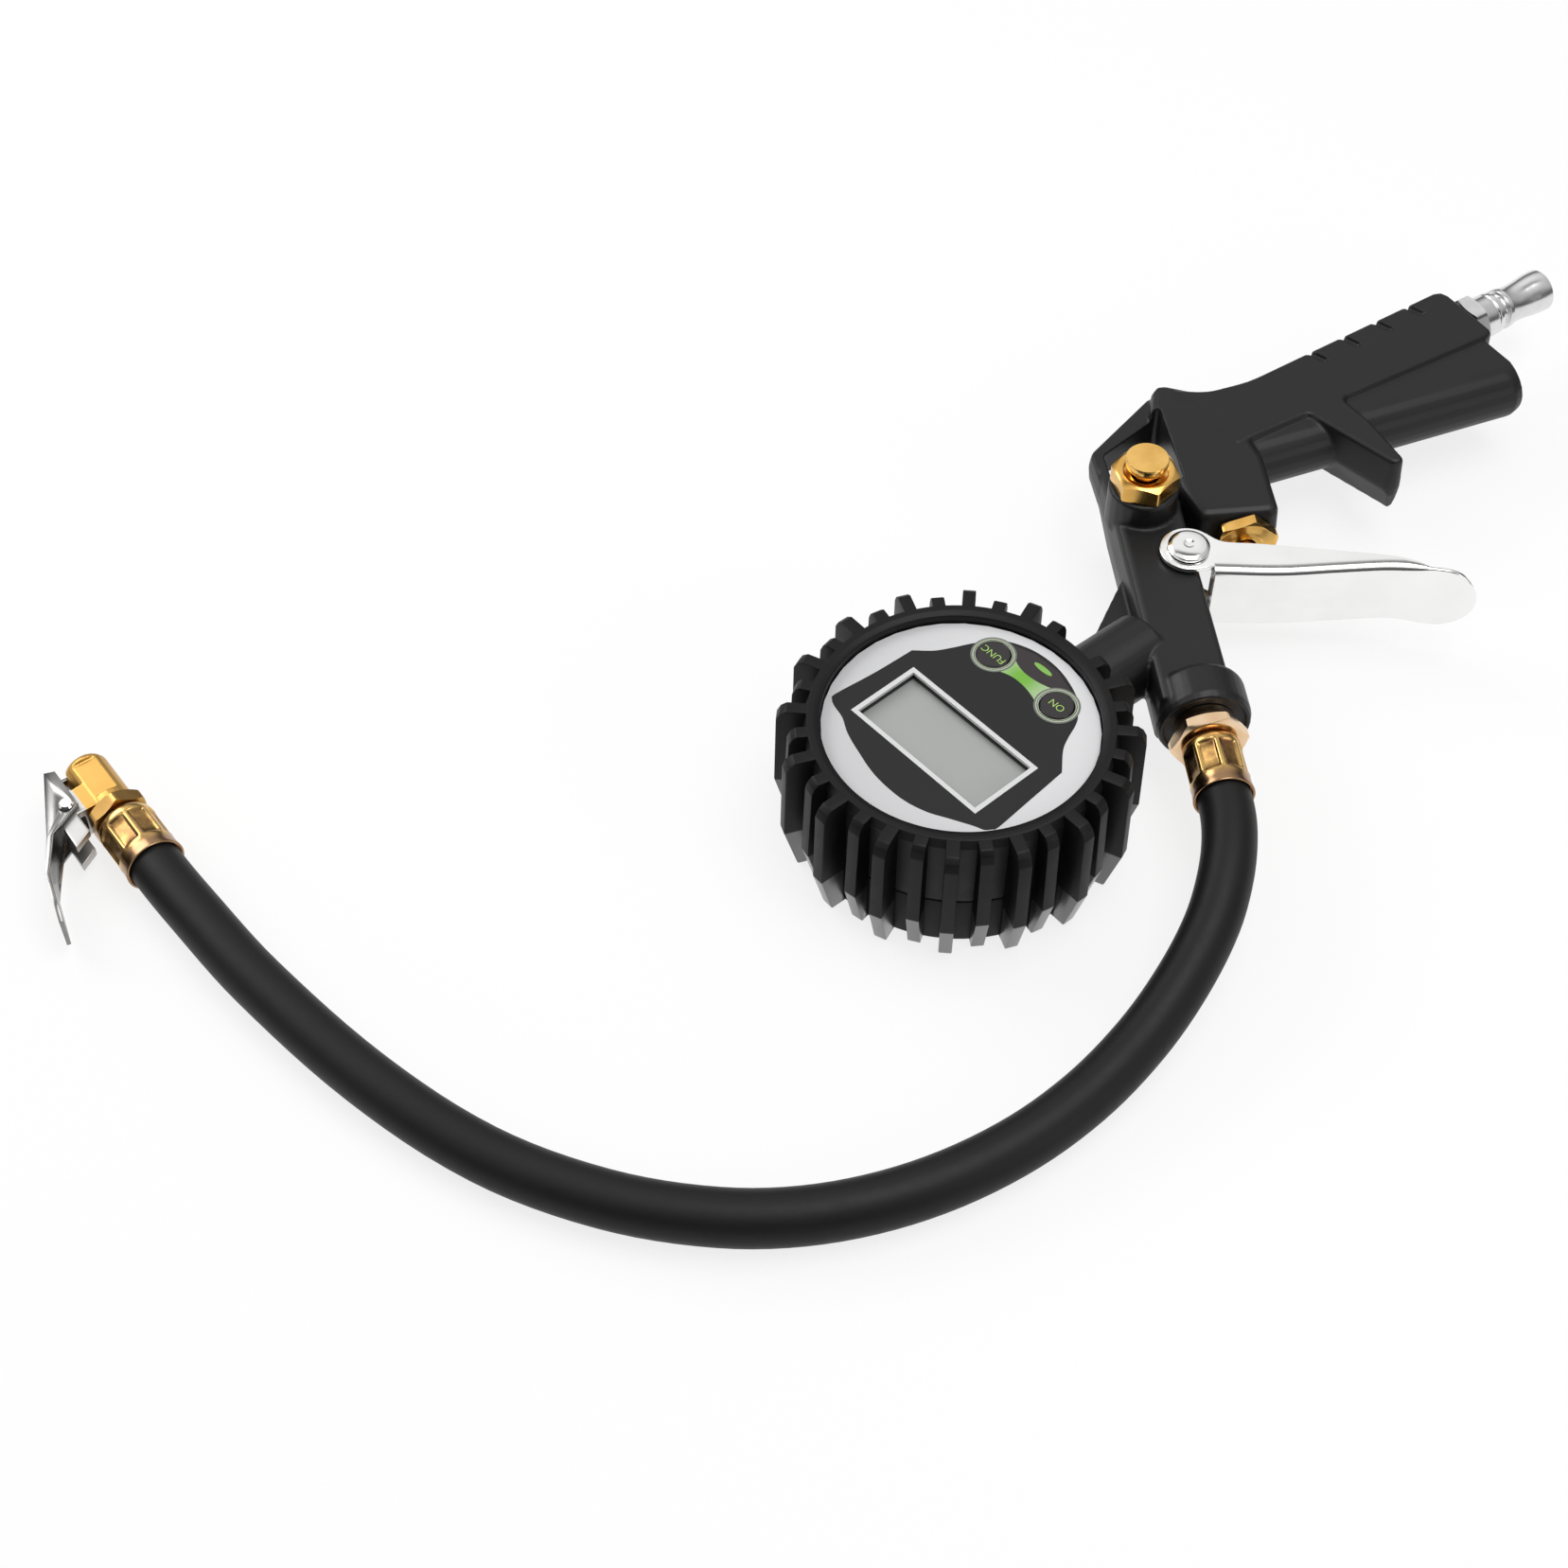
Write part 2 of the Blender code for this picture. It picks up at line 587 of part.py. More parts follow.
    # bores: hose outlet, gauge stem, inlet, both valves and the lever's pin
    hidden = BORE_SEGMENTS
    cut(body, cylinder(COLLAR_RADIUS - 0.0016, -COLLAR_RECESS, 0.002), OUTLET_FRAME)
    cut(body, cylinder(OUTLET_SPIGOT_RADIUS + FIT, -OUTLET_SPIGOT - GAP, 0.002, hidden), OUTLET_FRAME)
    cut(body, cylinder(STEM_RADIUS + FIT, CASE_RADIUS - 0.006, STEM_REACH + GAP, hidden), STEM_FRAME)
    cut(body, cylinder(PLUG_SPIGOT_RADIUS + FIT, -PLUG_SPIGOT - GAP, 0.002, hidden), INLET_FRAME)
    cut(body, turned([(0.002, VALVE_SPIGOT_RADIUS + FIT), (-VALVE_SPIGOT - GAP, VALVE_SPIGOT_RADIUS + FIT),
                      (-VALVE_SPIGOT - GAP, VALVE_CHAMBER_RADIUS),
                      (-VALVE_CHAMBER, VALVE_CHAMBER_RADIUS)], hidden),
        VALVE_FRAME)
    chamber = BLEED_SPIGOT + 2 * GAP + BUTTON_FLANGE + GAP + BLEED_SPRING_LENGTH + GAP
    cut(body, turned([(0.002, BLEED_SPIGOT_RADIUS + FIT), (-BLEED_SPIGOT - GAP, BLEED_SPIGOT_RADIUS + FIT),
                      (-BLEED_SPIGOT - GAP, BUTTON_FLANGE_RADIUS + FIT),
                      (-chamber, BUTTON_FLANGE_RADIUS + FIT)],
                     hidden), BLEED_FRAME)
    cut(body, cylinder(PIN_RADIUS + FIT, -0.02, 0.02, hidden), Matrix.Translation(PIVOT))

    # notches wrapped over the pad's upper edge
    top = 0.0090
    for i in range(NOTCH_COUNT):
        along = NOTCH_START + NOTCH_PITCH * i
        face = PAD_HALF - NOTCH_DEPTH
        section = [(top - NOTCH_REACH, PAD_HALF + 0.001), (top - NOTCH_REACH, face),
                   (top - NOTCH_DEPTH, face),
                   (top - NOTCH_DEPTH, -face), (top - NOTCH_REACH, -face),
                   (top - NOTCH_REACH, -PAD_HALF - 0.001),
                   (top + 0.002, -PAD_HALF - 0.001), (top + 0.002, PAD_HALF + 0.001)]
        sides = []
        for shift in (-NOTCH_WIDTH / 2, NOTCH_WIDTH / 2):
            sides.append([(along + shift + 0.35 * (top - v), v, z) for v, z in section])
        cut(body, loft(sides), HANDLE_FRAME)
    return finish(place(body, GUN), POWDER_COAT)


def inlet():
    """Quick-coupling plug with its washer."""
    hexagon = (6, PLUG_HEX)
    corner = PLUG_HEX / 2 / cos(pi / 6)
    base = WASHER_THICKNESS + 2 * GAP
    top = base + PLUG_HEX_LENGTH
    tip = PLUG_LENGTH
    nose = PLUG_NOSE_RADIUS
    plug = solid("inlet_plug", turned([
        (-PLUG_SPIGOT, PLUG_SPIGOT_RADIUS), (base, PLUG_SPIGOT_RADIUS), (base, PLUG_HEX / 2, *hexagon),
        (base + 0.0008, corner, *hexagon), (top - 0.0008, corner, *hexagon), (top, PLUG_HEX / 2, *hexagon),
        (top, nose - 0.0003), (top + 0.0058, nose - 0.0003), (top + 0.0068, nose - 0.0008),
        (top + 0.0084, nose - 0.0008), (top + 0.0090, PLUG_NECK_RADIUS), (top + 0.0118, PLUG_NECK_RADIUS),
        (top + 0.0135, nose), (tip - 0.0006, nose), (tip, nose - 0.0006), (tip, PLUG_BORE + 0.0014),
        (tip - 0.0075, PLUG_BORE + 0.0012), (tip - 0.0085, PLUG_BORE),
        (-PLUG_SPIGOT, PLUG_BORE)], closed=True))
    finish(place(plug, GUN, INLET_FRAME), NICKEL)
    seal = solid("inlet_seal", turned([
        (GAP, PLUG_SPIGOT_RADIUS + FIT), (GAP, PLUG_HEX / 2 - 0.0003),
        (GAP + WASHER_THICKNESS, PLUG_HEX / 2 - 0.0003),
        (GAP + WASHER_THICKNESS, PLUG_SPIGOT_RADIUS + FIT)], closed=True))
    finish(place(seal, GUN, INLET_FRAME), RUBBER)


def inflate_valve():
    """Nut, sprung stem and seal of the valve that the lever opens."""
    hexagon = (6, VALVE_HEX)
    corner = VALVE_HEX / 2 / cos(pi / 6)
    height = VALVE_HEX_HEIGHT
    nut = solid("inflate_valve_nut", turned([
        (-VALVE_SPIGOT, VALVE_SPIGOT_RADIUS), (GAP, VALVE_SPIGOT_RADIUS), (GAP, VALVE_HEX / 2, *hexagon),
        (GAP + 0.0005, corner, *hexagon), (height - 0.0007, corner, *hexagon),
        (height, VALVE_HEX / 2, *hexagon),
        (height, VALVE_STEM_RADIUS + FIT + 0.0006), (height - 0.0006, VALVE_STEM_RADIUS + FIT),
        (-VALVE_SPIGOT, VALVE_STEM_RADIUS + FIT)], closed=True))
    finish(place(nut, GUN, VALVE_FRAME @ Matrix.Rotation(radians(VALVE_HEX_TURN), 4, 'Z')), BRASS)

    web = lever_web(VALVE_X - PIVOT_X) + LEVER_SHEET
    tip = BLOCK_END_Y - (PIVOT_Y + web) - GAP
    head = -VALVE_SPIGOT - 2 * GAP - SEAL_THICKNESS
    cup = VALVE_CUP_RADIUS
    stem = solid("inflate_valve_stem", turned([
        (tip, 0), (tip - 0.0002, VALVE_STEM_RADIUS * 0.55), (tip - 0.0010, VALVE_STEM_RADIUS),
        (head, VALVE_STEM_RADIUS), (head, cup - 0.0003), (head - 0.0003, cup),
        (head - VALVE_CUP_LENGTH, cup), (head - VALVE_CUP_LENGTH, cup - VALVE_CUP_WALL),
        (head - 0.0020, cup - VALVE_CUP_WALL), (head - 0.0020, 0)]))
    finish(place(stem, GUN, VALVE_FRAME), BRASS)
    seal = solid("inflate_valve_seal", turned([
        (-VALVE_SPIGOT - GAP, VALVE_STEM_RADIUS + FIT), (-VALVE_SPIGOT - GAP, cup),
        (-VALVE_SPIGOT - GAP - SEAL_THICKNESS, cup),
        (-VALVE_SPIGOT - GAP - SEAL_THICKNESS, VALVE_STEM_RADIUS + FIT)],
        closed=True))
    finish(place(seal, GUN, VALVE_FRAME), RUBBER)
    spring = coil("inflate_valve_spring", cup - VALVE_CUP_WALL - FIT, VALVE_SPRING_WIRE,
                  VALVE_SPRING_LENGTH, 4)
    finish(place(spring, GUN, VALVE_FRAME @ Matrix.Translation((0, 0, -VALVE_CHAMBER + GAP))), SPRING_STEEL)


def lever_web(x):
    """Outer line of the lever's web, measured from the pivot."""
    line = ((0.0056, -0.0090), (0.0227, -0.0115), (0.0387, -0.0118), (0.0521, -0.0122), (0.0622, -0.0143))
    for (x0, y0), (x1, y1) in zip(line, line[1:]):
        if x <= x1:
            return y0 + (y1 - y0) * (x - x0) / (x1 - x0)
    return line[-1][1]


def lever():
    """Pressed U-section lever: two ears on the pivot, tapering flanges, a web and a rounded tongue."""
    web = [(x, lever_web(x)) for x in (0.0622, 0.0521, 0.0387, 0.0227, 0.0056)]
    ear = [(LEVER_EAR * cos(radians(a)), LEVER_EAR * sin(radians(a))) for a in range(45, 286, 15)]
    side = [(0.0110, 0.0014), (0.0082, 0.0026)] + ear + web[::-1] + [
        (0.0624, -0.0131), (0.0593, -0.0105), (0.0531, -0.0079), (0.0403, -0.0048), (0.0199, -0.0002)]
    mesh = prism(side, -LEVER_HALF, LEVER_HALF)
    edges = [edge for edge in mesh.edges
             if abs(edge.verts[0].co.z - edge.verts[1].co.z) < 1e-6
             and all(abs(v.co.y - lever_web(v.co.x)) < 1e-5 and v.co.x > 0.005 for v in edge.verts)
             and len(edge.link_faces) == 2]
    bmesh.ops.bevel(mesh, geom=edges, offset=LEVER_BEND, segments=3, profile=0.5, affect='EDGES')
    item = solid("trigger_lever", mesh)
    inner = [(x, y + LEVER_SHEET) for x, y in web[::-1]]
    hollow = [(-0.013, -0.013), (inner[0][0], -0.013)] + inner + [(0.070, -0.0134), (0.070, 0.013),
                                                                  (-0.013, 0.013)]
    cut(item, prism(hollow, -LEVER_STOP, LEVER_STOP))

    # tongue: the web carried on and flared outwards, with a round end
    outer = [(0.0585, lever_web(0.0585) + 0.0001), (0.0622, lever_web(0.0622) + 0.0001), (0.0668, -0.0156),
             (0.0710, -0.0166), (0.0755, -0.0182)]
    strip = outer + [(x + 0.0002, y + LEVER_SHEET - 0.0002) for x, y in outer[::-1]]
    tongue = solid("tongue", prism(strip, -LEVER_HALF, LEVER_HALF))
    end = 0.0752
    rim = [(0.050, -LEVER_HALF), (end - LEVER_END_RADIUS, -LEVER_HALF)]
    rim += [(end - LEVER_END_RADIUS + LEVER_END_RADIUS * sin(pi * k / 12), -LEVER_HALF * cos(pi * k / 12))
            for k in range(1, 12)]
    rim += [(end - LEVER_END_RADIUS, LEVER_HALF), (0.050, LEVER_HALF)]
    shape = loft([[(x, y, z) for x, z in rim] for y in (-0.030, 0.0)])
    combine(tongue, shape, 'INTERSECT')
    mesh = bmesh.new()
    mesh.from_mesh(tongue.data)
    bpy.data.objects.remove(tongue, do_unlink=True)
    join(item, mesh)
    cut(item, cylinder(PIN_RADIUS + FIT, -0.015, 0.015))
    finish(place(item, GUN, Matrix.Translation(PIVOT)), NICKEL)

    # pivot pin: domed head above, groove and retaining clip below
    groove = LEVER_HALF + GAP
    pin = solid("trigger_pin", turned([
        (-groove - CLIP_THICKNESS - 0.0016, 0), (-groove - CLIP_THICKNESS - 0.0016, PIN_RADIUS - 0.0005),
        (-groove - CLIP_THICKNESS - 0.0011, PIN_RADIUS), (-groove - CLIP_THICKNESS - GAP, PIN_RADIUS),
        (-groove - CLIP_THICKNESS - GAP, PIN_RADIUS - 0.0006), (-groove, PIN_RADIUS - 0.0006),
        (-groove, PIN_RADIUS), (LEVER_HALF + GAP, PIN_RADIUS), (LEVER_HALF + GAP, PIN_HEAD_RADIUS),
        (LEVER_HALF + PIN_HEAD_HEIGHT - 0.0005, PIN_HEAD_RADIUS),
        (LEVER_HALF + PIN_HEAD_HEIGHT, PIN_HEAD_RADIUS - 0.0006),
        (LEVER_HALF + PIN_HEAD_HEIGHT + 0.0002, 0.0015), (LEVER_HALF + PIN_HEAD_HEIGHT, 0)]))
    finish(place(pin, GUN, Matrix.Translation(PIVOT)), NICKEL)
    ring = []
    for radius, turns in ((PIN_RADIUS - 0.0006 + GAP, range(40, 321, 20)),
                          (PIN_RADIUS + 0.0018, range(320, 39, -20))):
        ring += [(radius * cos(radians(a)), radius * sin(radians(a))) for a in turns]
    clip = solid("trigger_pin_clip", prism(ring, -groove - CLIP_THICKNESS, -groove))
    finish(place(clip, GUN, Matrix.Translation(PIVOT)), SPRING_STEEL)


def bleed_valve():
    """Nut, push button, spring and seal of the pressure release on top of the gun."""
    hexagon = (6, BLEED_HEX)
    corner = BLEED_HEX / 2 / cos(pi / 6)
    top = BLEED_HEX_HEIGHT + GAP
    bore = BUTTON_STEM_RADIUS + FIT
    nut = solid("bleed_nut", turned([
        (-BLEED_SPIGOT, BLEED_SPIGOT_RADIUS), (GAP, BLEED_SPIGOT_RADIUS), (GAP, BLEED_HEX / 2, *hexagon),
        (GAP + 0.0006, corner, *hexagon), (top - 0.0013, corner, *hexagon),
        (top - 0.0003, BLEED_HEX / 2, *hexagon),
        (top, BLEED_HEX / 2 - 0.0004), (top, BUTTON_RADIUS + 0.0005),
        (top - BLEED_RECESS, BUTTON_RADIUS + 0.0005),
        (top - BLEED_RECESS, bore), (-BLEED_SPIGOT, bore)], closed=True))
    finish(place(nut, GUN, BLEED_FRAME @ Matrix.Rotation(radians(BLEED_HEX_TURN), 4, 'Z')), BRASS)
    head = top + BUTTON_LIFT
    flange = -BLEED_SPIGOT - 2 * GAP
    button = solid("bleed_button", turned([
        (head + BUTTON_HEIGHT, 0), (head + BUTTON_HEIGHT, BUTTON_RADIUS - 0.0006),
        (head + BUTTON_HEIGHT - 0.0005, BUTTON_RADIUS),
        (head + 0.0003, BUTTON_RADIUS), (head, BUTTON_RADIUS - 0.0003), (head, BUTTON_STEM_RADIUS),
        (flange, BUTTON_STEM_RADIUS), (flange, BUTTON_FLANGE_RADIUS),
        (flange - BUTTON_FLANGE, BUTTON_FLANGE_RADIUS),
        (flange - BUTTON_FLANGE, 0)]))
    finish(place(button, GUN, BLEED_FRAME), BRASS)
    under = flange - BUTTON_FLANGE - GAP
    seal = solid("bleed_seal", cylinder(BUTTON_FLANGE_RADIUS - 0.0022, under - 0.0016, under))
    finish(place(seal, GUN, BLEED_FRAME), RUBBER)
    spring = coil("bleed_spring", BUTTON_FLANGE_RADIUS - GAP, BLEED_SPRING_WIRE, BLEED_SPRING_LENGTH, 4)
    finish(place(spring, GUN, BLEED_FRAME @ Matrix.Translation((0, 0, under - BLEED_SPRING_LENGTH))),
           SPRING_STEEL)


def boot():
    """Rubber boot: a lofted ring of tall and short fins, bored for the case and for the gun's boss."""
    half = FIN_THICKNESS / 2
    levels = (
        (0.0, 0.0, 0.62 * TALL_FIN, 0.42 * SHORT_FIN), (FIN_WAIST_Z, 0.0, TALL_FIN, SHORT_FIN),
        (BOOT_HEIGHT - 0.0028, 0.0004, 0.96 * TALL_FIN, 0.84 * SHORT_FIN),
        (BOOT_HEIGHT, 0.0, 0.72 * TALL_FIN, 0.56 * SHORT_FIN))
    loops = []
    for z, barrel, tall, short in levels:
        root = BOOT_RADIUS + barrel
        ring = []
        for k in range(FIN_COUNT):
            turn = radians(FIN_PHASE) + 2 * pi * k / FIN_COUNT
            away = degrees(turn) - STEM_TURN
            near_stem = abs((away + 180) % 360 - 180) < 8
            tip = BOOT_RADIUS + (tall if k % 2 == 0 else short)
            spread = asin(half / tip)
            if near_stem:
                tip = root
                spread = asin(half / root) / 2
            foot = asin(half / root)
            for radius, angle in ((root, turn - foot), (tip, turn - spread), (tip, turn + spread),
                                  (root, turn + foot)):
                ring.append((radius * cos(angle), radius * sin(angle), z))
        loops.append(ring)
    item = solid("gauge_boot", loft(loops))
    under = BOOT_HEIGHT - BOOT_LIP_DEPTH
    cut(item, turned([
        (BOOT_HEIGHT + 0.001, BOOT_LIP_RADIUS + 0.0018), (BOOT_HEIGHT - 0.0008, BOOT_LIP_RADIUS),
        (under, BOOT_LIP_RADIUS),
        (under, CASE_RADIUS + GAP), (BOOT_BACK_LIP, CASE_RADIUS + GAP),
        (BOOT_BACK_LIP, BACK_PAD_RADIUS + GAP),
        (-0.001, BACK_PAD_RADIUS + GAP)], FINE_SEGMENTS))
    cut(item, cylinder(BOSS_RADIUS + FIT, BOOT_RADIUS - 0.008, BOOT_RADIUS + 0.015),
        Matrix.Translation((0, 0, GUN_Z)) @ STEM_FRAME)
    return finish(place(item, GAUGE), RUBBER)


def gauge_case():
    """Two-part plastic case with its battery bay, the printed face, the display, keys and stem."""
    inner = CASE_RADIUS - CASE_WALL
    floor = BOOT_BACK_LIP + GAP + CASE_WALL
    cell_z = BATTERY_COVER_THICKNESS + 2 * GAP + BATTERY_RADIUS
    bay_x = BATTERY_LENGTH / 2 + CONTACT_THICKNESS + 3 * GAP
    bay_y = 2 * BATTERY_RADIUS + 2 * GAP
    bay_top = cell_z + BATTERY_RADIUS + GAP
    cover_x = bay_x + BAY_WALL
    cover_y = bay_y + BAY_WALL
    back = solid("case_back", turned([
        (0, 0), (0, BACK_PAD_RADIUS), (BOOT_BACK_LIP + GAP, BACK_PAD_RADIUS),
        (BOOT_BACK_LIP + GAP, CASE_RADIUS),
        (CASE_SPLIT_Z, CASE_RADIUS), (CASE_SPLIT_Z, inner), (floor, inner), (floor, 0)], FINE_SEGMENTS))
    join(back, box((-cover_x, -cover_y, floor - 0.001), (cover_x, cover_y, bay_top)))
    for k in range(3):
        turn = radians(STEM_TURN + 60 + 120 * k)
        spot = Matrix.Translation((POST_CIRCLE * cos(turn), POST_CIRCLE * sin(turn), 0))
        join(back, cylinder(POST_RADIUS, floor - 0.001, BOARD_Z - GAP, 12), spot)
    ledge = BATTERY_COVER_THICKNESS + GAP
    cut(back, box((-bay_x, -bay_y, -0.001), (bay_x, bay_y, bay_top + 0.001)))
    lip = 0.0012
    screw_x = bay_x + 0.0004 + COVER_TAB
    x, y = bay_x + lip, bay_y + lip
    recess = [Vector((x, -COVER_TAB))]
    for k in range(7):
        turn = pi * (k - 3) / 6
        recess.append(Vector((screw_x + COVER_TAB * cos(turn), COVER_TAB * sin(turn))))
    recess += [Vector((x, COVER_TAB)), Vector((x, y)), Vector((-x, y)), Vector((-x, -y)), Vector((x, -y))]
    cut(back, prism(recess, -0.001, ledge))
    cut(back, cylinder(0.0010, ledge - 0.0005, floor + 0.001, 12), Matrix.Translation((screw_x, 0, 0)))
    cut(back, cylinder(STEM_RADIUS + FIT, CASE_RADIUS - 0.006, CASE_RADIUS + 0.004, BORE_SEGMENTS),
        Matrix.Translation((0, 0, GUN_Z)) @ STEM_FRAME)
    finish(place(back, GAUGE), BLACK_PLASTIC)

    cover = solid("battery_cover", prism(inset(recess, GAP), 0, BATTERY_COVER_THICKNESS))
    cut(cover, cylinder(SCREW_RADIUS + GAP, -0.001, 0.0009, 16), Matrix.Translation((screw_x, 0, 0)))
    cut(cover, cylinder(0.0010, 0.0005, 0.003, 12), Matrix.Translation((screw_x, 0, 0)))
    finish(place(cover, GAUGE), BLACK_PLASTIC)
    screw = solid("cover_screw", turned([
        (floor + 0.0003, 0), (floor, 0.0004), (floor - 0.0006, 0.0007), (0.0009 - GAP, 0.0007),
        (0.0009 - GAP, SCREW_RADIUS),
        (0.0001, SCREW_RADIUS), (0.0001, 0)], 16))
    cut(screw, box((-0.0016, -0.00025, -0.001), (0.0016, 0.00025, 0.0004)))
    finish(place(screw, GAUGE, Matrix.Translation((screw_x, 0, 0))), SPRING_STEEL)
    for name, side in (("battery_a", 1), ("battery_b", -1)):
        cell = solid(name, turned([
            (-BATTERY_LENGTH / 2, 0), (-BATTERY_LENGTH / 2, BATTERY_RADIUS - 0.0004),
            (-BATTERY_LENGTH / 2 + 0.0004, BATTERY_RADIUS), (BATTERY_LENGTH / 2 - 0.0014, BATTERY_RADIUS),
            (BATTERY_LENGTH / 2 - 0.0010, BATTERY_RADIUS - 0.0004), (BATTERY_LENGTH / 2 - 0.0010, 0.0019),
            (BATTERY_LENGTH / 2, 0.0019), (BATTERY_LENGTH / 2, 0)], 12))
        spot = frame((0, side * (BATTERY_RADIUS + GAP / 2), cell_z), (side, 0, 0))
        finish(place(cell, GAUGE, spot), BATTERY_WRAP)
    for name, side in (("contact_plate_a", 1), ("contact_plate_b", -1)):
        start = side * (BATTERY_LENGTH / 2 + GAP)
        stop = start + side * CONTACT_THICKNESS
        contact = solid(name, box((min(start, stop), -bay_y + GAP, ledge + GAP),
                                  (max(start, stop), bay_y - GAP, bay_top - GAP)))
        finish(place(contact, GAUGE), SPRING_STEEL)

    board = solid("circuit_board", turned([(BOARD_Z, 0), (BOARD_Z, BOARD_RADIUS),
                                           (BOARD_Z + BOARD_THICKNESS, BOARD_RADIUS),
                                           (BOARD_Z + BOARD_THICKNESS, 0)], 36))
    notch = STEM_RADIUS + STEM_FLANGE + GAP
    cut(board, box((BOARD_RADIUS - 0.0100, -notch, BOARD_Z - 0.001),
                   (BOARD_RADIUS + 0.001, notch, CASE_TOP_Z)),
        Matrix.Rotation(radians(STEM_TURN), 4, 'Z'))
    finish(place(board, GAUGE), BOARD_GREEN)
    board_top = BOARD_Z + BOARD_THICKNESS
    top_plate = CASE_TOP_Z - 0.0011
    display = Matrix.Translation((DISPLAY_X, DISPLAY_Y, 0)) @ Matrix.Rotation(radians(DISPLAY_TURN), 4, 'Z')
    x, y = DISPLAY_LENGTH / 2, DISPLAY_WIDTH / 2
    edge = 0.0016
    glass_top = top_plate - GAP
    glass = solid("lcd_window", box((-x - edge, -y - edge, glass_top - DISPLAY_GLASS),
                                    (x + edge, y + edge, glass_top)))
    finish(place(glass, GAUGE, display), GLASS)
    module = solid("lcd_module", box((-x - edge, -y - edge, board_top + GAP),
                                     (x + edge, y + edge, glass_top - DISPLAY_GLASS - GAP)))
    finish(place(module, GAUGE, display), LIQUID_CRYSTAL)

    front = solid("case_front", turned([
        (CASE_TOP_Z, 0), (CASE_TOP_Z, CASE_RADIUS - 0.0005), (CASE_TOP_Z - 0.0005, CASE_RADIUS),
        (CASE_SPLIT_Z + GAP, CASE_RADIUS), (CASE_SPLIT_Z + GAP, inner), (top_plate, inner), (top_plate, 0)],
        FINE_SEGMENTS))
    face_base = CASE_TOP_Z + GAP
    face_top = face_base + FACE_THICKNESS
    face = solid("face_plate", turned([(face_base, 0), (face_base, FACE_RADIUS), (face_top, FACE_RADIUS),
                                       (face_top, 0)],
                                      FINE_SEGMENTS))
    for item in (front, face):
        cut(item, box((-x, -y, CASE_SPLIT_Z), (x, y, CASE_TOP_Z + 0.004)), display)
        for spot in (FUNC_KEY, ON_KEY):
            cut(item, cylinder(KEY_RADIUS + GAP, CASE_SPLIT_Z, CASE_TOP_Z + 0.004),
                Matrix.Translation((*spot, 0)))
    finish(place(front, GAUGE), BLACK_PLASTIC)
    finish(place(face, GAUGE), FACE_SILVER)

    key_top = face_top + KEY_PROUD
    key_foot = board_top + GAP + SWITCH_HEIGHT + GAP + KEY_TRAVEL
    for name, other, spot in (("func_button", "func_switch", FUNC_KEY), ("on_button", "on_switch", ON_KEY)):
        key = solid(name, turned([
            (key_top, 0), (key_top, KEY_RADIUS - 0.0003), (key_top - 0.0003, KEY_RADIUS),
            (CASE_TOP_Z - 0.0011, KEY_RADIUS),
            (CASE_TOP_Z - 0.0011, 0.0022), (key_foot, 0.0022), (key_foot, 0)]))
        finish(place(key, GAUGE, Matrix.Translation((*spot, 0))), BLACK_PLASTIC)
        size = SWITCH_SIZE / 2
        switch = solid(other, box((-size, -size, board_top + GAP),
                                  (size, size, board_top + GAP + SWITCH_HEIGHT)))
        turn = Matrix.Rotation(radians(DISPLAY_TURN), 4, 'Z')
        finish(place(switch, GAUGE, Matrix.Translation((*spot, 0)) @ turn), BATTERY_WRAP)

    # stem: flange inside the case, thread in the gun's boss, and the sensor on its inner end
    wall = inner * cos(asin((STEM_RADIUS + STEM_FLANGE + GAP) / inner)) - GAP
    start = wall - STEM_FLANGE
    stem = solid("gauge_stem", turned([
        (start, 0.0015), (start, STEM_RADIUS + STEM_FLANGE), (wall, STEM_RADIUS + STEM_FLANGE),
        (wall, STEM_RADIUS),
        (STEM_REACH, STEM_RADIUS), (STEM_REACH, 0.0015)], BORE_SEGMENTS, True))
    stem_place = Matrix.Translation((0, 0, GUN_Z)) @ STEM_FRAME
    finish(place(stem, GAUGE, stem_place), BRASS)
    sensor = solid("pressure_sensor", cylinder(SENSOR_RADIUS, start - GAP - SENSOR_LENGTH, start - GAP))
    finish(place(sensor, GAUGE, stem_place), SPRING_STEEL)


def ferrule(name, parent, matrix):
    """Crimped ferrule; its Z runs from the fitting to the rim, where the hose enters a socket."""
    flats = (FERRULE_FLATS, FERRULE_ACROSS)
    rim = FERRULE_RADIUS
    length = FERRULE_LENGTH
    floor = length - FERRULE_SOCKET
    item = solid(name, turned([
        (NIPPLE + 2 * GAP, 0), (NIPPLE + 2 * GAP, NIPPLE_RADIUS + FIT), (0, NIPPLE_RADIUS + FIT),
        (0, rim - 0.0011),
        (0.0006, rim - 0.0005), (0.0026, rim - 0.0003), (0.0032, rim - 0.0003, *flats),
        (length - 0.0050, rim - 0.0003, *flats), (length - 0.0042, rim - 0.0003), (length, rim),
        (length, HOSE_RADIUS + GAP), (floor, HOSE_RADIUS + GAP), (floor, 0)], 32))
    return finish(place(item, parent, matrix), BRONZED_BRASS)


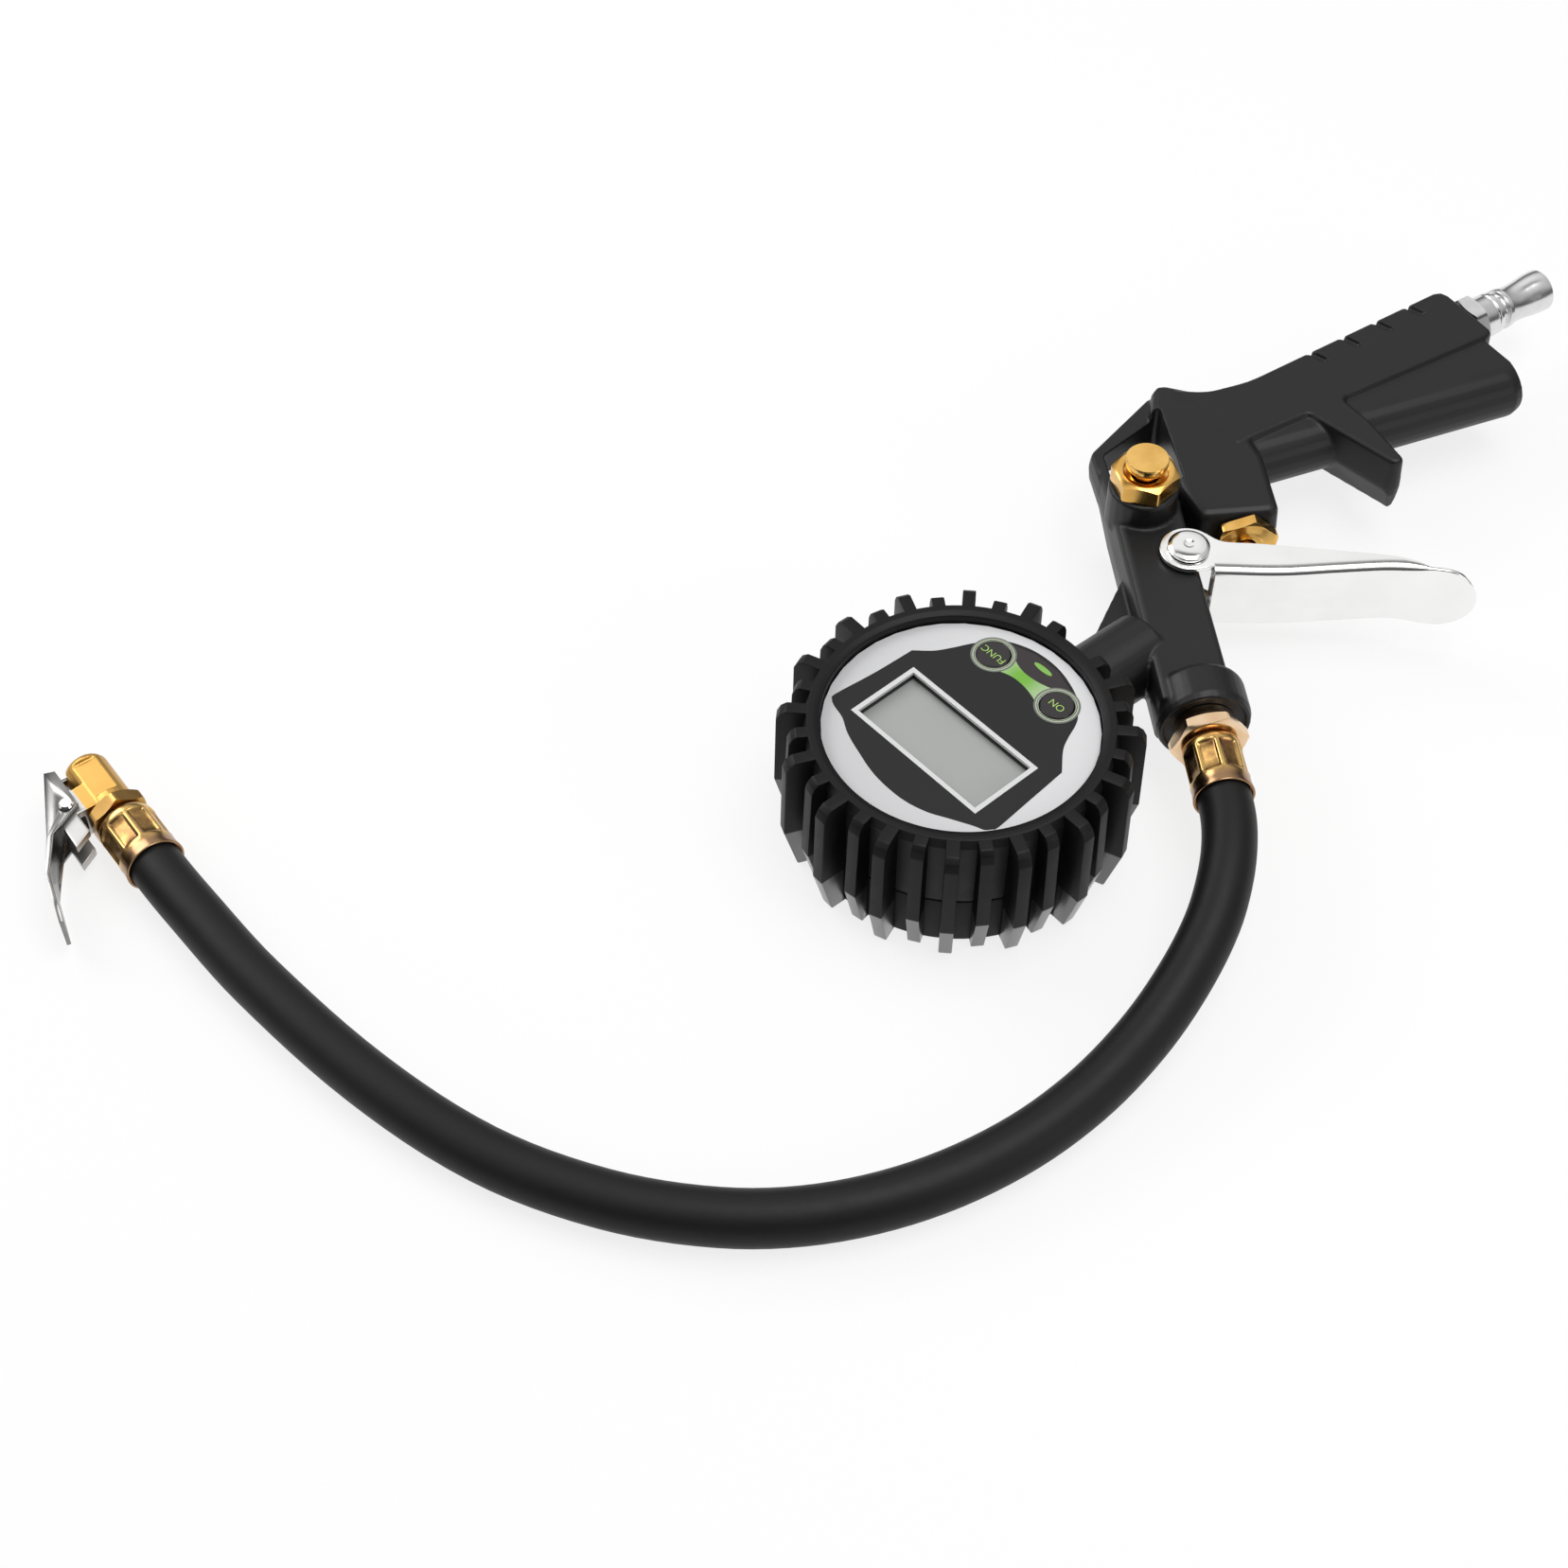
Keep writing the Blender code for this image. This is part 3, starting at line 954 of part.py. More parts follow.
def hose_route():
    """Smooth curve through the hose's chosen points; it leaves each ferrule along the ferrule's axis."""
    rim_y = COLLAR_FRONT_Y - OUTLET_NECK - OUTLET_HEX_HEIGHT - GAP - FERRULE_LENGTH
    start = Vector((OUTLET_X, rim_y, GUN_Z))
    way = Vector((0, -1, 0))
    end = Vector((CHUCK_X, CHUCK_Y, CHUCK_Z))
    back = -Vector((cos(radians(CHUCK_TURN)), sin(radians(CHUCK_TURN)), 0))
    reach = FERRULE_SOCKET - GAP
    knots = [start + way * HOSE_STRAIGHT] + [Vector(p) for p in HOSE_FALL] + [end + back * HOSE_STRAIGHT]
    ways = [way] + [(c - a).normalized() for a, c in zip(knots, knots[2:])] + [-back]
    dense = []
    for i, (here, there) in enumerate(zip(knots, knots[1:])):
        enter = ways[i] * (there - here).length
        leave = ways[i + 1] * (there - here).length
        run = []
        for k in range(9):
            t = k / 8
            run.append(here * (2 * t ** 3 - 3 * t ** 2 + 1) + enter * (t ** 3 - 2 * t ** 2 + t)
                       + there * (3 * t ** 2 - 2 * t ** 3) + leave * (t ** 3 - t ** 2))
        dense.append(run)
    middle = [knots[0]] + [point for run in dense for point in run[1:]]
    points = [start - way * reach, knots[0]]
    travelled = 0.0
    total = sum((b - a).length for a, b in zip(middle, middle[1:]))
    spacing = total / round(total / (1.5 * 2 * HOSE_RADIUS))
    following = spacing
    for a, b in zip(middle, middle[1:]):
        travelled += (b - a).length
        if travelled >= following and total - travelled > spacing / 2:
            points.append(b)
            following += spacing
    return points + [knots[-1], end - back * reach]


def hose_line():
    """Outlet fitting, both ferrules and the hose."""
    hexagon = (6, OUTLET_HEX)
    corner = OUTLET_HEX / 2 / cos(pi / 6)
    neck = OUTLET_NECK
    top = neck + OUTLET_HEX_HEIGHT
    fitting = solid("outlet_fitting", turned([
        (-OUTLET_SPIGOT, OUTLET_SPIGOT_RADIUS), (-COLLAR_RECESS + GAP, OUTLET_SPIGOT_RADIUS),
        (-COLLAR_RECESS + GAP, OUTLET_SPIGOT_RADIUS + 0.0016), (neck, OUTLET_SPIGOT_RADIUS + 0.0016),
        (neck, OUTLET_HEX / 2, *hexagon), (neck + 0.0006, corner, *hexagon), (top - 0.0006, corner, *hexagon),
        (top, OUTLET_HEX / 2, *hexagon), (top, NIPPLE_RADIUS), (top + GAP + NIPPLE, NIPPLE_RADIUS),
        (top + GAP + NIPPLE, 0.003), (-OUTLET_SPIGOT, 0.003)], closed=True))
    finish(place(fitting, GUN, OUTLET_FRAME @ Matrix.Rotation(radians(OUTLET_HEX_TURN), 4, 'Z')), BRASS)
    ferrule("hose_ferrule_gun", GUN, OUTLET_FRAME @ Matrix.Translation((0, 0, top + GAP)))
    ferrule("hose_ferrule_chuck", CHUCK, frame((FERRULE_LENGTH, 0, 0), (-1, 0, 0)))
    hose = tube("hose", hose_route(), HOSE_RADIUS, 3)
    finish(hose, RUBBER)


def chuck():
    """Clip-on chuck: fitting, body with its slotted lug and seal, sprung clip on its pin."""
    along = frame((FERRULE_LENGTH + GAP, 0, 0), (1, 0, 0))
    hexagon = (6, CHUCK_HEX)
    corner = CHUCK_HEX / 2 / cos(pi / 6)
    high = CHUCK_HEX_LENGTH
    fitting = solid("chuck_fitting", turned([
        (-NIPPLE - GAP, 0.002), (-NIPPLE - GAP, NIPPLE_RADIUS), (0, NIPPLE_RADIUS),
        (0, CHUCK_HEX / 2 - 0.0004),
        (0.0012, corner - 0.0003, *hexagon), (high - 0.0012, corner - 0.0003, *hexagon),
        (high, CHUCK_HEX / 2 - 0.0004),
        (high, 0.0035), (high + 0.0030, 0.0035), (high + 0.0030, 0.002)], closed=True))
    finish(place(fitting, CHUCK, along), BRONZED_BRASS)

    base = FERRULE_LENGTH + GAP + high + GAP
    mouth = base + CHUCK_LENGTH
    ring = CHUCK_RADIUS
    bore = CHUCK_BORE
    body = solid("chuck_body", turned([
        (base, ring), (mouth - 0.0016, ring), (mouth - 0.0005, ring - 0.0005), (mouth, ring - 0.0014)]))
    body.data.transform(frame((0, 0, 0), (1, 0, 0)))
    pin = Vector((CLIP_PIVOT_S, CLIP_PIVOT_N))
    flat = CHUCK_FLAT
    for side in (1, -1):
        low, high_z = sorted((side * flat, side * 0.02))
        cut(body, box((base + 0.0022, -0.02, low), (mouth - 0.0022, 0.02, high_z)))
    lug = [(base + 0.0003, 0.002), (base + 0.0003, 0.0092), (pin.x - 0.0098, 0.0092),
           (pin.x - 0.0128, pin.y + 0.0040),
           (pin.x - 0.0051, pin.y + 0.0038), (pin.x + 0.0005, pin.y + 0.0025),
           (pin.x + 0.0034, pin.y + 0.0001),
           (pin.x + 0.0048, pin.y - 0.0030), (pin.x + 0.0054, 0.002)]
    join(body, prism(lug, -flat + 0.0001, flat - 0.0001))
    cut(body, box((pin.x - 0.0045, pin.y - 0.0030, -CLIP_SLOT), (pin.x + 0.007, pin.y + 0.008, CLIP_SLOT)))
    cut(body, box((pin.x - 0.0140, pin.y - 0.0012, -CLIP_SLOT), (pin.x - 0.0040, pin.y + 0.008, CLIP_SLOT)))
    cut(body, cylinder(CLIP_PIN_RADIUS + GAP, -0.01, 0.01, 12), Matrix.Translation((*pin, 0)))
    inside = frame((0, 0, 0), (1, 0, 0))
    cut(body, turned([(base - 0.001, 0.0035 + FIT), (base + 0.0030 + GAP, 0.0035 + FIT),
                      (base + 0.0030 + GAP, 0.002),
                      (mouth - CHUCK_BORE_DEPTH, 0.002), (mouth - CHUCK_BORE_DEPTH, bore),
                      (mouth - 0.0006, bore),
                      (mouth + 0.001, bore + 0.0014)]), inside)
    tooth = mouth - 0.0024
    cut(body, box((tooth - 0.0007, 0.0, -0.0025), (mouth + 0.001, 0.008, 0.0025)))
    finish(place(body, CHUCK), BRASS)
    foot = mouth - CHUCK_BORE_DEPTH
    seal = solid("chuck_seal", turned([(foot + GAP, 0.0016), (foot + GAP, bore - GAP),
                                       (foot + GAP + SEAL_THICKNESS, bore - GAP),
                                       (foot + GAP + SEAL_THICKNESS, 0.0016)], closed=True))
    finish(place(seal, CHUCK, inside), RUBBER)

    # clip: two ears on the pin, a back web, a tooth through the body's slot and a thumb blade
    ear_in = flat + GAP
    ear_out = ear_in + CLIP_SHEET
    sheet = CLIP_SHEET
    web_out = [(0.0127, -0.0001), (-0.0061, 0.0086), (-0.0165, 0.0142), (-0.0310, 0.0181)]
    side = [(0.0127, -0.0001), (-0.0061, 0.0086), (-0.0165, 0.0142), (-0.0310, 0.0181), (-0.0313, 0.0171),
            (-0.0169, 0.0132), (-0.0064, 0.0068), (-0.0012, -0.0027), (0.0117, -0.0027)]
    clip = solid("clip_lever", prism(side, -ear_out, ear_out))
    hollow = [(0.0140, -0.0060), (0.0127 - sheet, -0.0006 - sheet + 0.0005), (-0.0062, 0.0074),
              (-0.0170, 0.0131),
              (-0.0330, 0.0100), (-0.0100, -0.0060)]
    cut(clip, prism(hollow, -ear_in, ear_in))
    nib = [(tooth - pin.x - 0.0002, -0.0004), (tooth - pin.x - 0.0002, bore + 0.0003 - pin.y),
           (tooth - pin.x + 0.0006, bore + 0.0003 - pin.y), (tooth - pin.x + 0.0009, -0.0004)]
    join(clip, prism(nib, -0.0020, 0.0020))
    trim = loft([[(s, n, z) for s, z in ((-0.0360, ear_out + 0.001), (-0.0360, 0.0036),
                                         (-0.0240, ear_out + 0.0002))]
                 for n in (0.0, 0.03)])
    cut(clip, trim)
    trim = loft([[(s, n, z) for s, z in ((-0.0360, -ear_out - 0.001), (-0.0360, -0.0036),
                                         (-0.0240, -ear_out - 0.0002))]
                 for n in (0.0, 0.03)])
    cut(clip, trim)
    cut(clip, cylinder(CLIP_PIN_RADIUS + GAP, -0.01, 0.01, 12))
    finish(place(clip, CHUCK, Matrix.Translation((*pin, 0))), NICKEL)
    reach = ear_out + GAP
    pivot = solid("chuck_pin", turned([
        (-reach - 0.0006, 0), (-reach - 0.0006, CLIP_PIN_RADIUS + 0.0003), (-reach, CLIP_PIN_RADIUS + 0.0006),
        (-reach, CLIP_PIN_RADIUS), (reach, CLIP_PIN_RADIUS), (reach, CLIP_PIN_RADIUS + 0.0007),
        (reach + 0.0006, CLIP_PIN_RADIUS + 0.0003), (reach + 0.0006, 0)], 16))
    finish(place(pivot, CHUCK, Matrix.Translation((*pin, 0))), NICKEL)

    # torsion spring round the pin, one leg under the blade
    wire = CLIP_SPRING_WIRE
    radius = CLIP_PIN_RADIUS + GAP + wire / 2 + 0.0002
    pitch = wire + 0.00045
    turns = 2.6
    coils = []
    start = radians(118)
    for i in range(round(turns * 8) + 1):
        turn = start + 2 * pi * i / 8
        coils.append(Vector((radius * cos(turn), radius * sin(turn), -turns * pitch / 2 + pitch * i / 8)))
    leg_end = Vector((-0.0150, 0.0113, coils[0].z))
    lead = Vector((-0.0050, coils[0].y + 0.0028, coils[0].z))
    line = [leg_end, lead] + coils
    spring = tube("clip_spring", line, wire / 2, 1)
    finish(place(spring, CHUCK, Matrix.Translation((*pin, 0))), SPRING_STEEL)
    print("clip_spring: least gap to itself", round(own_gap(line, wire, 2 * pi * radius / 2) * 1000, 3), "mm")


clear_scene()
GAUGE = empty("gauge_axis", Matrix.Identity(4))
GUN = empty("gun_plane", Matrix.Translation((0, 0, GUN_Z)))
CHUCK = empty("chuck_axis", Matrix.Translation((CHUCK_X, CHUCK_Y, CHUCK_Z))
              @ Matrix.Rotation(radians(CHUCK_TURN), 4, 'Z'))
gun_body()
inlet()
inflate_valve()
lever()
bleed_valve()
boot()
gauge_case()
hose_line()
chuck()
bpy.context.view_layer.update()
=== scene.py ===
# %% [markdown]
# # Tyre inflator with a digital gauge
# A tyre inflator is a die-cast pistol with an air plug on its handle, a digital gauge in a ribbed rubber
# boot, and a short rubber hose that ends in a brass clip-on chuck. The CAD model is the fixed frame: every
# piece below sits where its CAD solid is, with rounder edges, finer turning and a procedural finish.

# %% Load the frame
from math import cos, degrees, pi, radians, sin, tan

import bmesh
import bpy
from mathutils import Matrix, Vector


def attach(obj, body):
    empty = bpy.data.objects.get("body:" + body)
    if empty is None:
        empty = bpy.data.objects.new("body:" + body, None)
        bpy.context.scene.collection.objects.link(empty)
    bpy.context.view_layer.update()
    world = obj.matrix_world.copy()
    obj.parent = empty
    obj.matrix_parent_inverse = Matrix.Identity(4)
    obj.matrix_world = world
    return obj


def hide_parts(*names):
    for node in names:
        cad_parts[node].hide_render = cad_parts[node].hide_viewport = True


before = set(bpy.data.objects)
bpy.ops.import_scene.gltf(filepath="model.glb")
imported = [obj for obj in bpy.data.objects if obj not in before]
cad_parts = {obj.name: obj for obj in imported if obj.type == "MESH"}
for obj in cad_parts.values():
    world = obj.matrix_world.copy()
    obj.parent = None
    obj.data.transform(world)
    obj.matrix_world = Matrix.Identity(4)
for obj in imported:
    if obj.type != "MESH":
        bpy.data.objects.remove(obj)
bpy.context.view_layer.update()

# %% [markdown]
# ## Node helpers
# Materials and Geometry Nodes are both trees of nodes. One class adds a node, sets its settings first and
# then feeds its sockets, and a wire that comes out of a node can be used in ordinary Python arithmetic.


# %% Wires and trees
class Wire:
    """An output socket that can stand in an expression; each operator adds a Math node."""

    def __init__(self, tree, socket):
        self.tree = tree
        self.socket = socket

    def maths(self, operation, *others):
        return self.tree.maths(operation, self, *others)

    def __add__(self, other):
        return self.maths('ADD', other)

    def __sub__(self, other):
        return self.maths('SUBTRACT', other)

    def __rsub__(self, other):
        return self.tree.maths('SUBTRACT', other, self)

    def __mul__(self, other):
        return self.maths('MULTIPLY', other)

    __radd__ = __add__
    __rmul__ = __mul__

    def within(self, low, high):
        """0 below low, 1 above high, and a smooth rise between them."""
        settings = {"interpolation_type": 'SMOOTHSTEP'}
        return self.tree.add('ShaderNodeMapRange', settings, {0: self, 1: low, 2: high})


class Tree:
    """A node tree; add() makes one node from its type, its settings and its sockets' values or wires."""

    def __init__(self, tree):
        self.tree = tree

    def add(self, kind, settings=None, feeds=None, out=0):
        node = self.tree.nodes.new(kind)
        for key, value in (settings or {}).items():
            setattr(node, key, value)
        for key, value in (feeds or {}).items():
            self.feed(node.inputs[key], value)
        return Wire(self, node.outputs[out]) if len(node.outputs) else node

    def feed(self, socket, value):
        if isinstance(value, Wire):
            self.tree.links.new(value.socket, socket)
        elif isinstance(value, tuple) and socket.type == 'RGBA' and len(value) == 3:
            socket.default_value = (*value, 1.0)
        else:
            socket.default_value = value

    def maths(self, operation, *values):
        return self.add('ShaderNodeMath', {"operation": operation}, dict(enumerate(values)))

    def blend(self, first, second, factor):
        """Mixes two colours."""
        return self.add('ShaderNodeMix', {"data_type": 'RGBA'}, {0: factor, 6: first, 7: second}, 2)


class Finish(Tree):
    """A material with one Principled shader and the patterns that finishes need."""

    def __init__(self, name, colour, roughness=0.5, metallic=0.0, **sockets):
        self.material = bpy.data.materials.new(name)
        self.material.use_nodes = True
        super().__init__(self.material.node_tree)
        self.shader = self.tree.nodes["Principled BSDF"]
        self.set("Base Color", colour)
        self.set("Roughness", roughness)
        self.set("Metallic", metallic)
        for key, value in sockets.items():
            self.set(key.replace("_", " "), value)

    def set(self, name, value):
        self.feed(self.shader.inputs[name], value)

    def place(self, matrix=None):
        """Object coordinates, or those of a turned and moved piece."""
        point = self.add('ShaderNodeTexCoord', out="Object")
        if matrix is None:
            return point
        back = matrix.inverted()
        feeds = {0: point, 1: tuple(back.to_translation()), 2: tuple(back.to_euler())}
        return self.add('ShaderNodeMapping', {"vector_type": 'POINT'}, feeds)

    def noise(self, size, detail=2.0, rough=0.5, at=None):
        """Noise with features of a size in metres."""
        feeds = {"Vector": at or self.place(), "Scale": 1.0 / size, "Detail": detail, "Roughness": rough}
        return self.add('ShaderNodeTexNoise', None, feeds)

    def parts(self, vector):
        """The X, Y and Z of a vector."""
        node = self.add('ShaderNodeSeparateXYZ', None, {0: vector}).socket.node
        return [Wire(self, socket) for socket in node.outputs]

    def bump(self, height, depth, strength=1.0):
        feeds = {"Height": height, "Distance": depth, "Strength": strength}
        self.set("Normal", self.add('ShaderNodeBump', None, feeds))


print("node helpers ready")

# %% [markdown]
# ## Finishes
# Die-cast zinc is powder coated: satin black with a very fine orange peel. Brass is bright with faint
# turning marks, the crimped ferrules are tinted by heat and carry a painted highlight on their ribs, the
# lever and plug are nickel plated, and each rubber or plastic has its own grain. Everything that varies
# feeds only colour, roughness or bump.


# %% Painted, plastic and rubber finishes
SHADE_SPREAD = 0.25
EDGE_BLUR = 0.0003


def powder_coat():
    coat = Finish("powder coat", (0.008, 0.008, 0.0082), 0.4, Specular_IOR_Level=0.32)
    broad = coat.noise(0.012, 3)
    coat.set("Base Color", coat.blend((0.0062, 0.0062, 0.0066), (0.010, 0.010, 0.0104), broad))
    coat.set("Roughness", 0.34 + 0.14 * broad)
    coat.bump(coat.noise(0.00035, 3, 0.6), 0.00004, 0.35)
    return coat.material


def moulded(name, colour, roughness, grain, depth, gloss=0.24, polished=None):
    """Moulded rubber or plastic: a matte grain and a slow drift of shade. Polished is a height and a radius:
    what is below the one and outside the other came from a smoother part of the mould."""
    skin = Finish(name, colour, roughness, Specular_IOR_Level=gloss)
    drift = skin.noise(0.018, 3)
    dark = tuple(c * (1 - SHADE_SPREAD) for c in colour)
    light = tuple(c * (1 + SHADE_SPREAD) for c in colour)
    skin.set("Base Color", skin.blend(dark, light, drift))
    skin.set("Roughness", roughness - 0.06 + 0.12 * skin.noise(0.004, 2))
    skin.bump(skin.noise(grain, 4, 0.65), depth, 0.5)
    if polished:
        height, reach = polished
        x, y, z = skin.parts(skin.place())
        outside = (x * x + y * y).maths('SQRT').within(reach, reach + 2 * EDGE_BLUR)
        skin.set("Coat Weight", outside * (1 - z.within(height - EDGE_BLUR, height + EDGE_BLUR)))
        skin.set("Coat Roughness", 0.28)
        skin.set("Coat IOR", 1.95)
    return skin.material


# %% Metal finishes
def metal(name, dark, light, roughness, matrix=None, rings=0.0):
    """Plated or turned metal; rings is the pitch of its turning marks about the matrix's Z axis."""
    plate = Finish(name, light, roughness, 1.0)
    cloud = plate.noise(0.011, 3, 0.5)
    plate.set("Base Color", plate.blend(dark, light, cloud.within(0.15, 0.75)))
    plate.set("Roughness", roughness + 0.05 * plate.noise(0.0016, 5, 0.7))
    if rings:
        x, y, z = plate.parts(plate.place(matrix))
        radius = (x * x + y * y).maths('SQRT')
        wave = ((radius + z) * (2 * pi / rings)).maths('SINE')
        plate.bump(wave * 0.5 + plate.noise(0.0003, 2), 0.000004, 0.5)
    else:
        plate.bump(plate.noise(0.0011, 4, 0.6), 0.00001, 0.12)
    return plate.material


BRASS_DARK = (0.62, 0.33, 0.07)
BRASS_LIGHT = (0.90, 0.56, 0.17)
BRONZE_DARK = (0.24, 0.12, 0.05)
BRONZE_LIGHT = (0.58, 0.36, 0.12)
NICKEL_DARK = (0.76, 0.76, 0.76)
NICKEL_LIGHT = (0.87, 0.867, 0.86)
FIN_FEET = (0.0134, 0.0389)
COAT = powder_coat()
BOOT_RUBBER = moulded("boot rubber", (0.0055, 0.0055, 0.0055), 0.44, 0.0004, 0.00003, 0.19, FIN_FEET)
SEAL_RUBBER = moulded("seal rubber", (0.012, 0.012, 0.012), 0.5, 0.0005, 0.00003)
CASE_PLASTIC = moulded("case plastic", (0.012, 0.012, 0.0125), 0.42, 0.0005, 0.00004)
NICKEL = metal("bright nickel", NICKEL_DARK, NICKEL_LIGHT, 0.10)
SPRING = metal("spring steel", (0.40, 0.40, 0.41), (0.62, 0.62, 0.63), 0.22)
print("shared finishes made")

# %% [markdown]
# ## Camera, floor and light
# The object lies on a pale table, seen from about fifty degrees above. Three soft lamps and a pale room
# light it; the floor and the room look near white to the camera and in reflections, and keep a soft shadow.

# %% Camera
CAMERA_AT = Vector((-0.08795, -0.41870, 0.53456))
CAMERA_TARGET = Vector((-0.04281, 0.01073, 0.007))
LENS = 60.83
camera = bpy.data.objects.new("camera", bpy.data.cameras.new("camera"))
bpy.context.scene.collection.objects.link(camera)
bpy.context.scene.camera = camera
camera.location = CAMERA_AT
camera.data.sensor_width = 36.0
camera.data.lens = LENS
aim = CAMERA_TARGET - CAMERA_AT
camera.rotation_euler = aim.to_track_quat('-Z', 'Y').to_euler()
camera.data.clip_start = 0.01
camera.data.dof.use_dof = False
print("camera is", round(aim.length, 3), "m away")


# %% Floor
def seen(tree):
    """1 for rays from the camera or a reflection, 0 for light that falls on the object."""
    path = tree.add('ShaderNodeLightPath')
    sockets = path.socket.node.outputs
    total = Wire(tree, sockets["Is Camera Ray"]) + Wire(tree, sockets["Is Glossy Ray"])
    return (total + Wire(tree, sockets["Is Transmission Ray"])).maths('MINIMUM', 1.0)


FLOOR_HALF = 4.0
FLOOR_DROP = 0.0002
FLOOR_GLOW = 0.80
corners = [(FLOOR_HALF * a, FLOOR_HALF * b, 0) for a, b in ((-1, -1), (1, -1), (1, 1), (-1, 1))]
data = bpy.data.meshes.new("table top")
data.from_pydata(corners, [], [(0, 1, 2, 3)])
floor = bpy.data.objects.new("table_top", data)
floor.location.z = -FLOOR_DROP
bpy.context.scene.collection.objects.link(floor)
top = Finish("pale table", (0.93, 0.93, 0.93), 0.9)
glow = top.add('ShaderNodeEmission', None, {"Color": (1.0, 1.0, 1.0), "Strength": 1.0})
matte = Wire(top, top.shader.outputs[0])
mixed = top.add('ShaderNodeMixShader', None, {0: seen(top) * FLOOR_GLOW, 1: matte, 2: glow})
top.feed(top.tree.nodes["Material Output"].inputs["Surface"], mixed)
data.materials.append(top.material)

# %% Room and lamps
ROOM_LIGHT = 0.42
world = bpy.data.worlds.new("pale room")
bpy.context.scene.world = world
world.use_nodes = True
room = Tree(world.node_tree)
back = room.tree.nodes["Background"]
room.feed(back.inputs["Color"], (1.0, 1.0, 1.0))
heading = room.add('ShaderNodeTexCoord', out="Generated")
split = room.add('ShaderNodeSeparateXYZ', None, {0: heading}).socket.node
across, along, up = [Wire(room, socket) for socket in split.outputs]
rays = room.add('ShaderNodeLightPath').socket.node.outputs
mirrored = Wire(room, rays["Is Glossy Ray"]) + Wire(room, rays["Is Transmission Ray"])
# Metal mirrors a pale ceiling with a dark beam at the back, walls that fade downwards, a dimmer right side
# and a dark front.
front = (0 - along).within(0.15, 0.6) * (1 - up.within(0.60, 0.90))
beam = along.within(0.1, 0.3) * up.within(0.80, 0.86) * (1 - up.within(0.93, 0.96))
walls = 0.05 + 0.95 * up.within(0.10, 0.60) * (1 - 0.45 * across.within(0.15, 0.75)) * (1 - 0.92 * front)
walls = walls * (1 - 0.85 * beam)
direct = Wire(room, rays["Is Camera Ray"])
plain = ROOM_LIGHT * (1 - mirrored) * (1 - direct)
room.feed(back.inputs["Strength"], plain + walls * mirrored + direct)


def lamp(name, place, target, width, depth, watts):
    light = bpy.data.lights.new(name, 'AREA')
    light.shape = 'RECTANGLE'
    light.size = width
    light.size_y = depth
    light.energy = watts
    item = bpy.data.objects.new(name, light)
    item.location = place
    item.rotation_euler = (Vector(target) - Vector(place)).to_track_quat('-Z', 'Y').to_euler()
    bpy.context.scene.collection.objects.link(item)


lamp("window", (-0.90, 0.70, 0.80), (0, 0, 0), 0.9, 0.6, 7.0)
lamp("overhead", (0.25, -0.05, 1.15), (0, 0, 0), 0.9, 0.7, 7.0)
lamp("fill", (0.85, -0.75, 0.45), (0.05, 0, 0), 0.5, 0.5, 2.0)
bpy.context.scene.view_settings.view_transform = 'Standard'
print("stage set")


# %% [markdown]
# ## Placing pieces
# A finished piece keeps its object at the origin with its place in its mesh, as the CAD nodes do, so that
# patterns on Object coordinates stay put. Each piece rides on a body and stands for its CAD nodes.

# %% Mesh helpers
GUN_Z = 0.020
PIVOT = Vector((0.0703, 0.0607, GUN_Z))
CHUCK_FRAME = Matrix.Translation((-0.20206, 0.00013, 0.0082)) @ Matrix.Rotation(radians(120.76), 4, 'Z')
CORNER_TRIM = 0.985


def axis(origin, direction=(0, 0, 1), turn=0.0):
    """Matrix that puts local Z along a direction at an origin, turned about it by degrees."""
    rotation = Vector((0, 0, 1)).rotation_difference(Vector(direction)).to_matrix().to_4x4()
    return Matrix.Translation(origin) @ rotation @ Matrix.Rotation(radians(turn), 4, 'Z')


def piece(name, mesh, material, body="inflator", nodes=(), smooth=35.0):
    """Object from a bmesh or a mesh, with its finish, riding on a body and standing for CAD nodes."""
    if isinstance(mesh, bmesh.types.BMesh):
        data = bpy.data.meshes.new(name)
        mesh.to_mesh(data)
        mesh.free()
    else:
        data = mesh
    data.materials.clear()
    data.materials.append(material)
    data.shade_smooth()
    if smooth < 180:
        data.set_sharp_from_angle(angle=radians(smooth))
    item = bpy.data.objects.new(name, data)
    bpy.context.scene.collection.objects.link(item)
    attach(item, body)
    if nodes:
        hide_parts(*nodes)
    return item


def baked(item):
    """Mesh of an object with its modifiers applied; the object itself is removed."""
    bpy.context.view_layer.update()
    depsgraph = bpy.context.evaluated_depsgraph_get()
    data = bpy.data.meshes.new_from_object(item.evaluated_get(depsgraph), depsgraph=depsgraph)
    bpy.data.objects.remove(item, do_unlink=True)
    return data


def merged(name):
    """Copy of a CAD node's mesh with its loose triangles joined."""
    mesh = bmesh.new()
    mesh.from_mesh(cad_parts[name].data)
    bmesh.ops.remove_doubles(mesh, verts=mesh.verts, dist=1e-6)
    return mesh


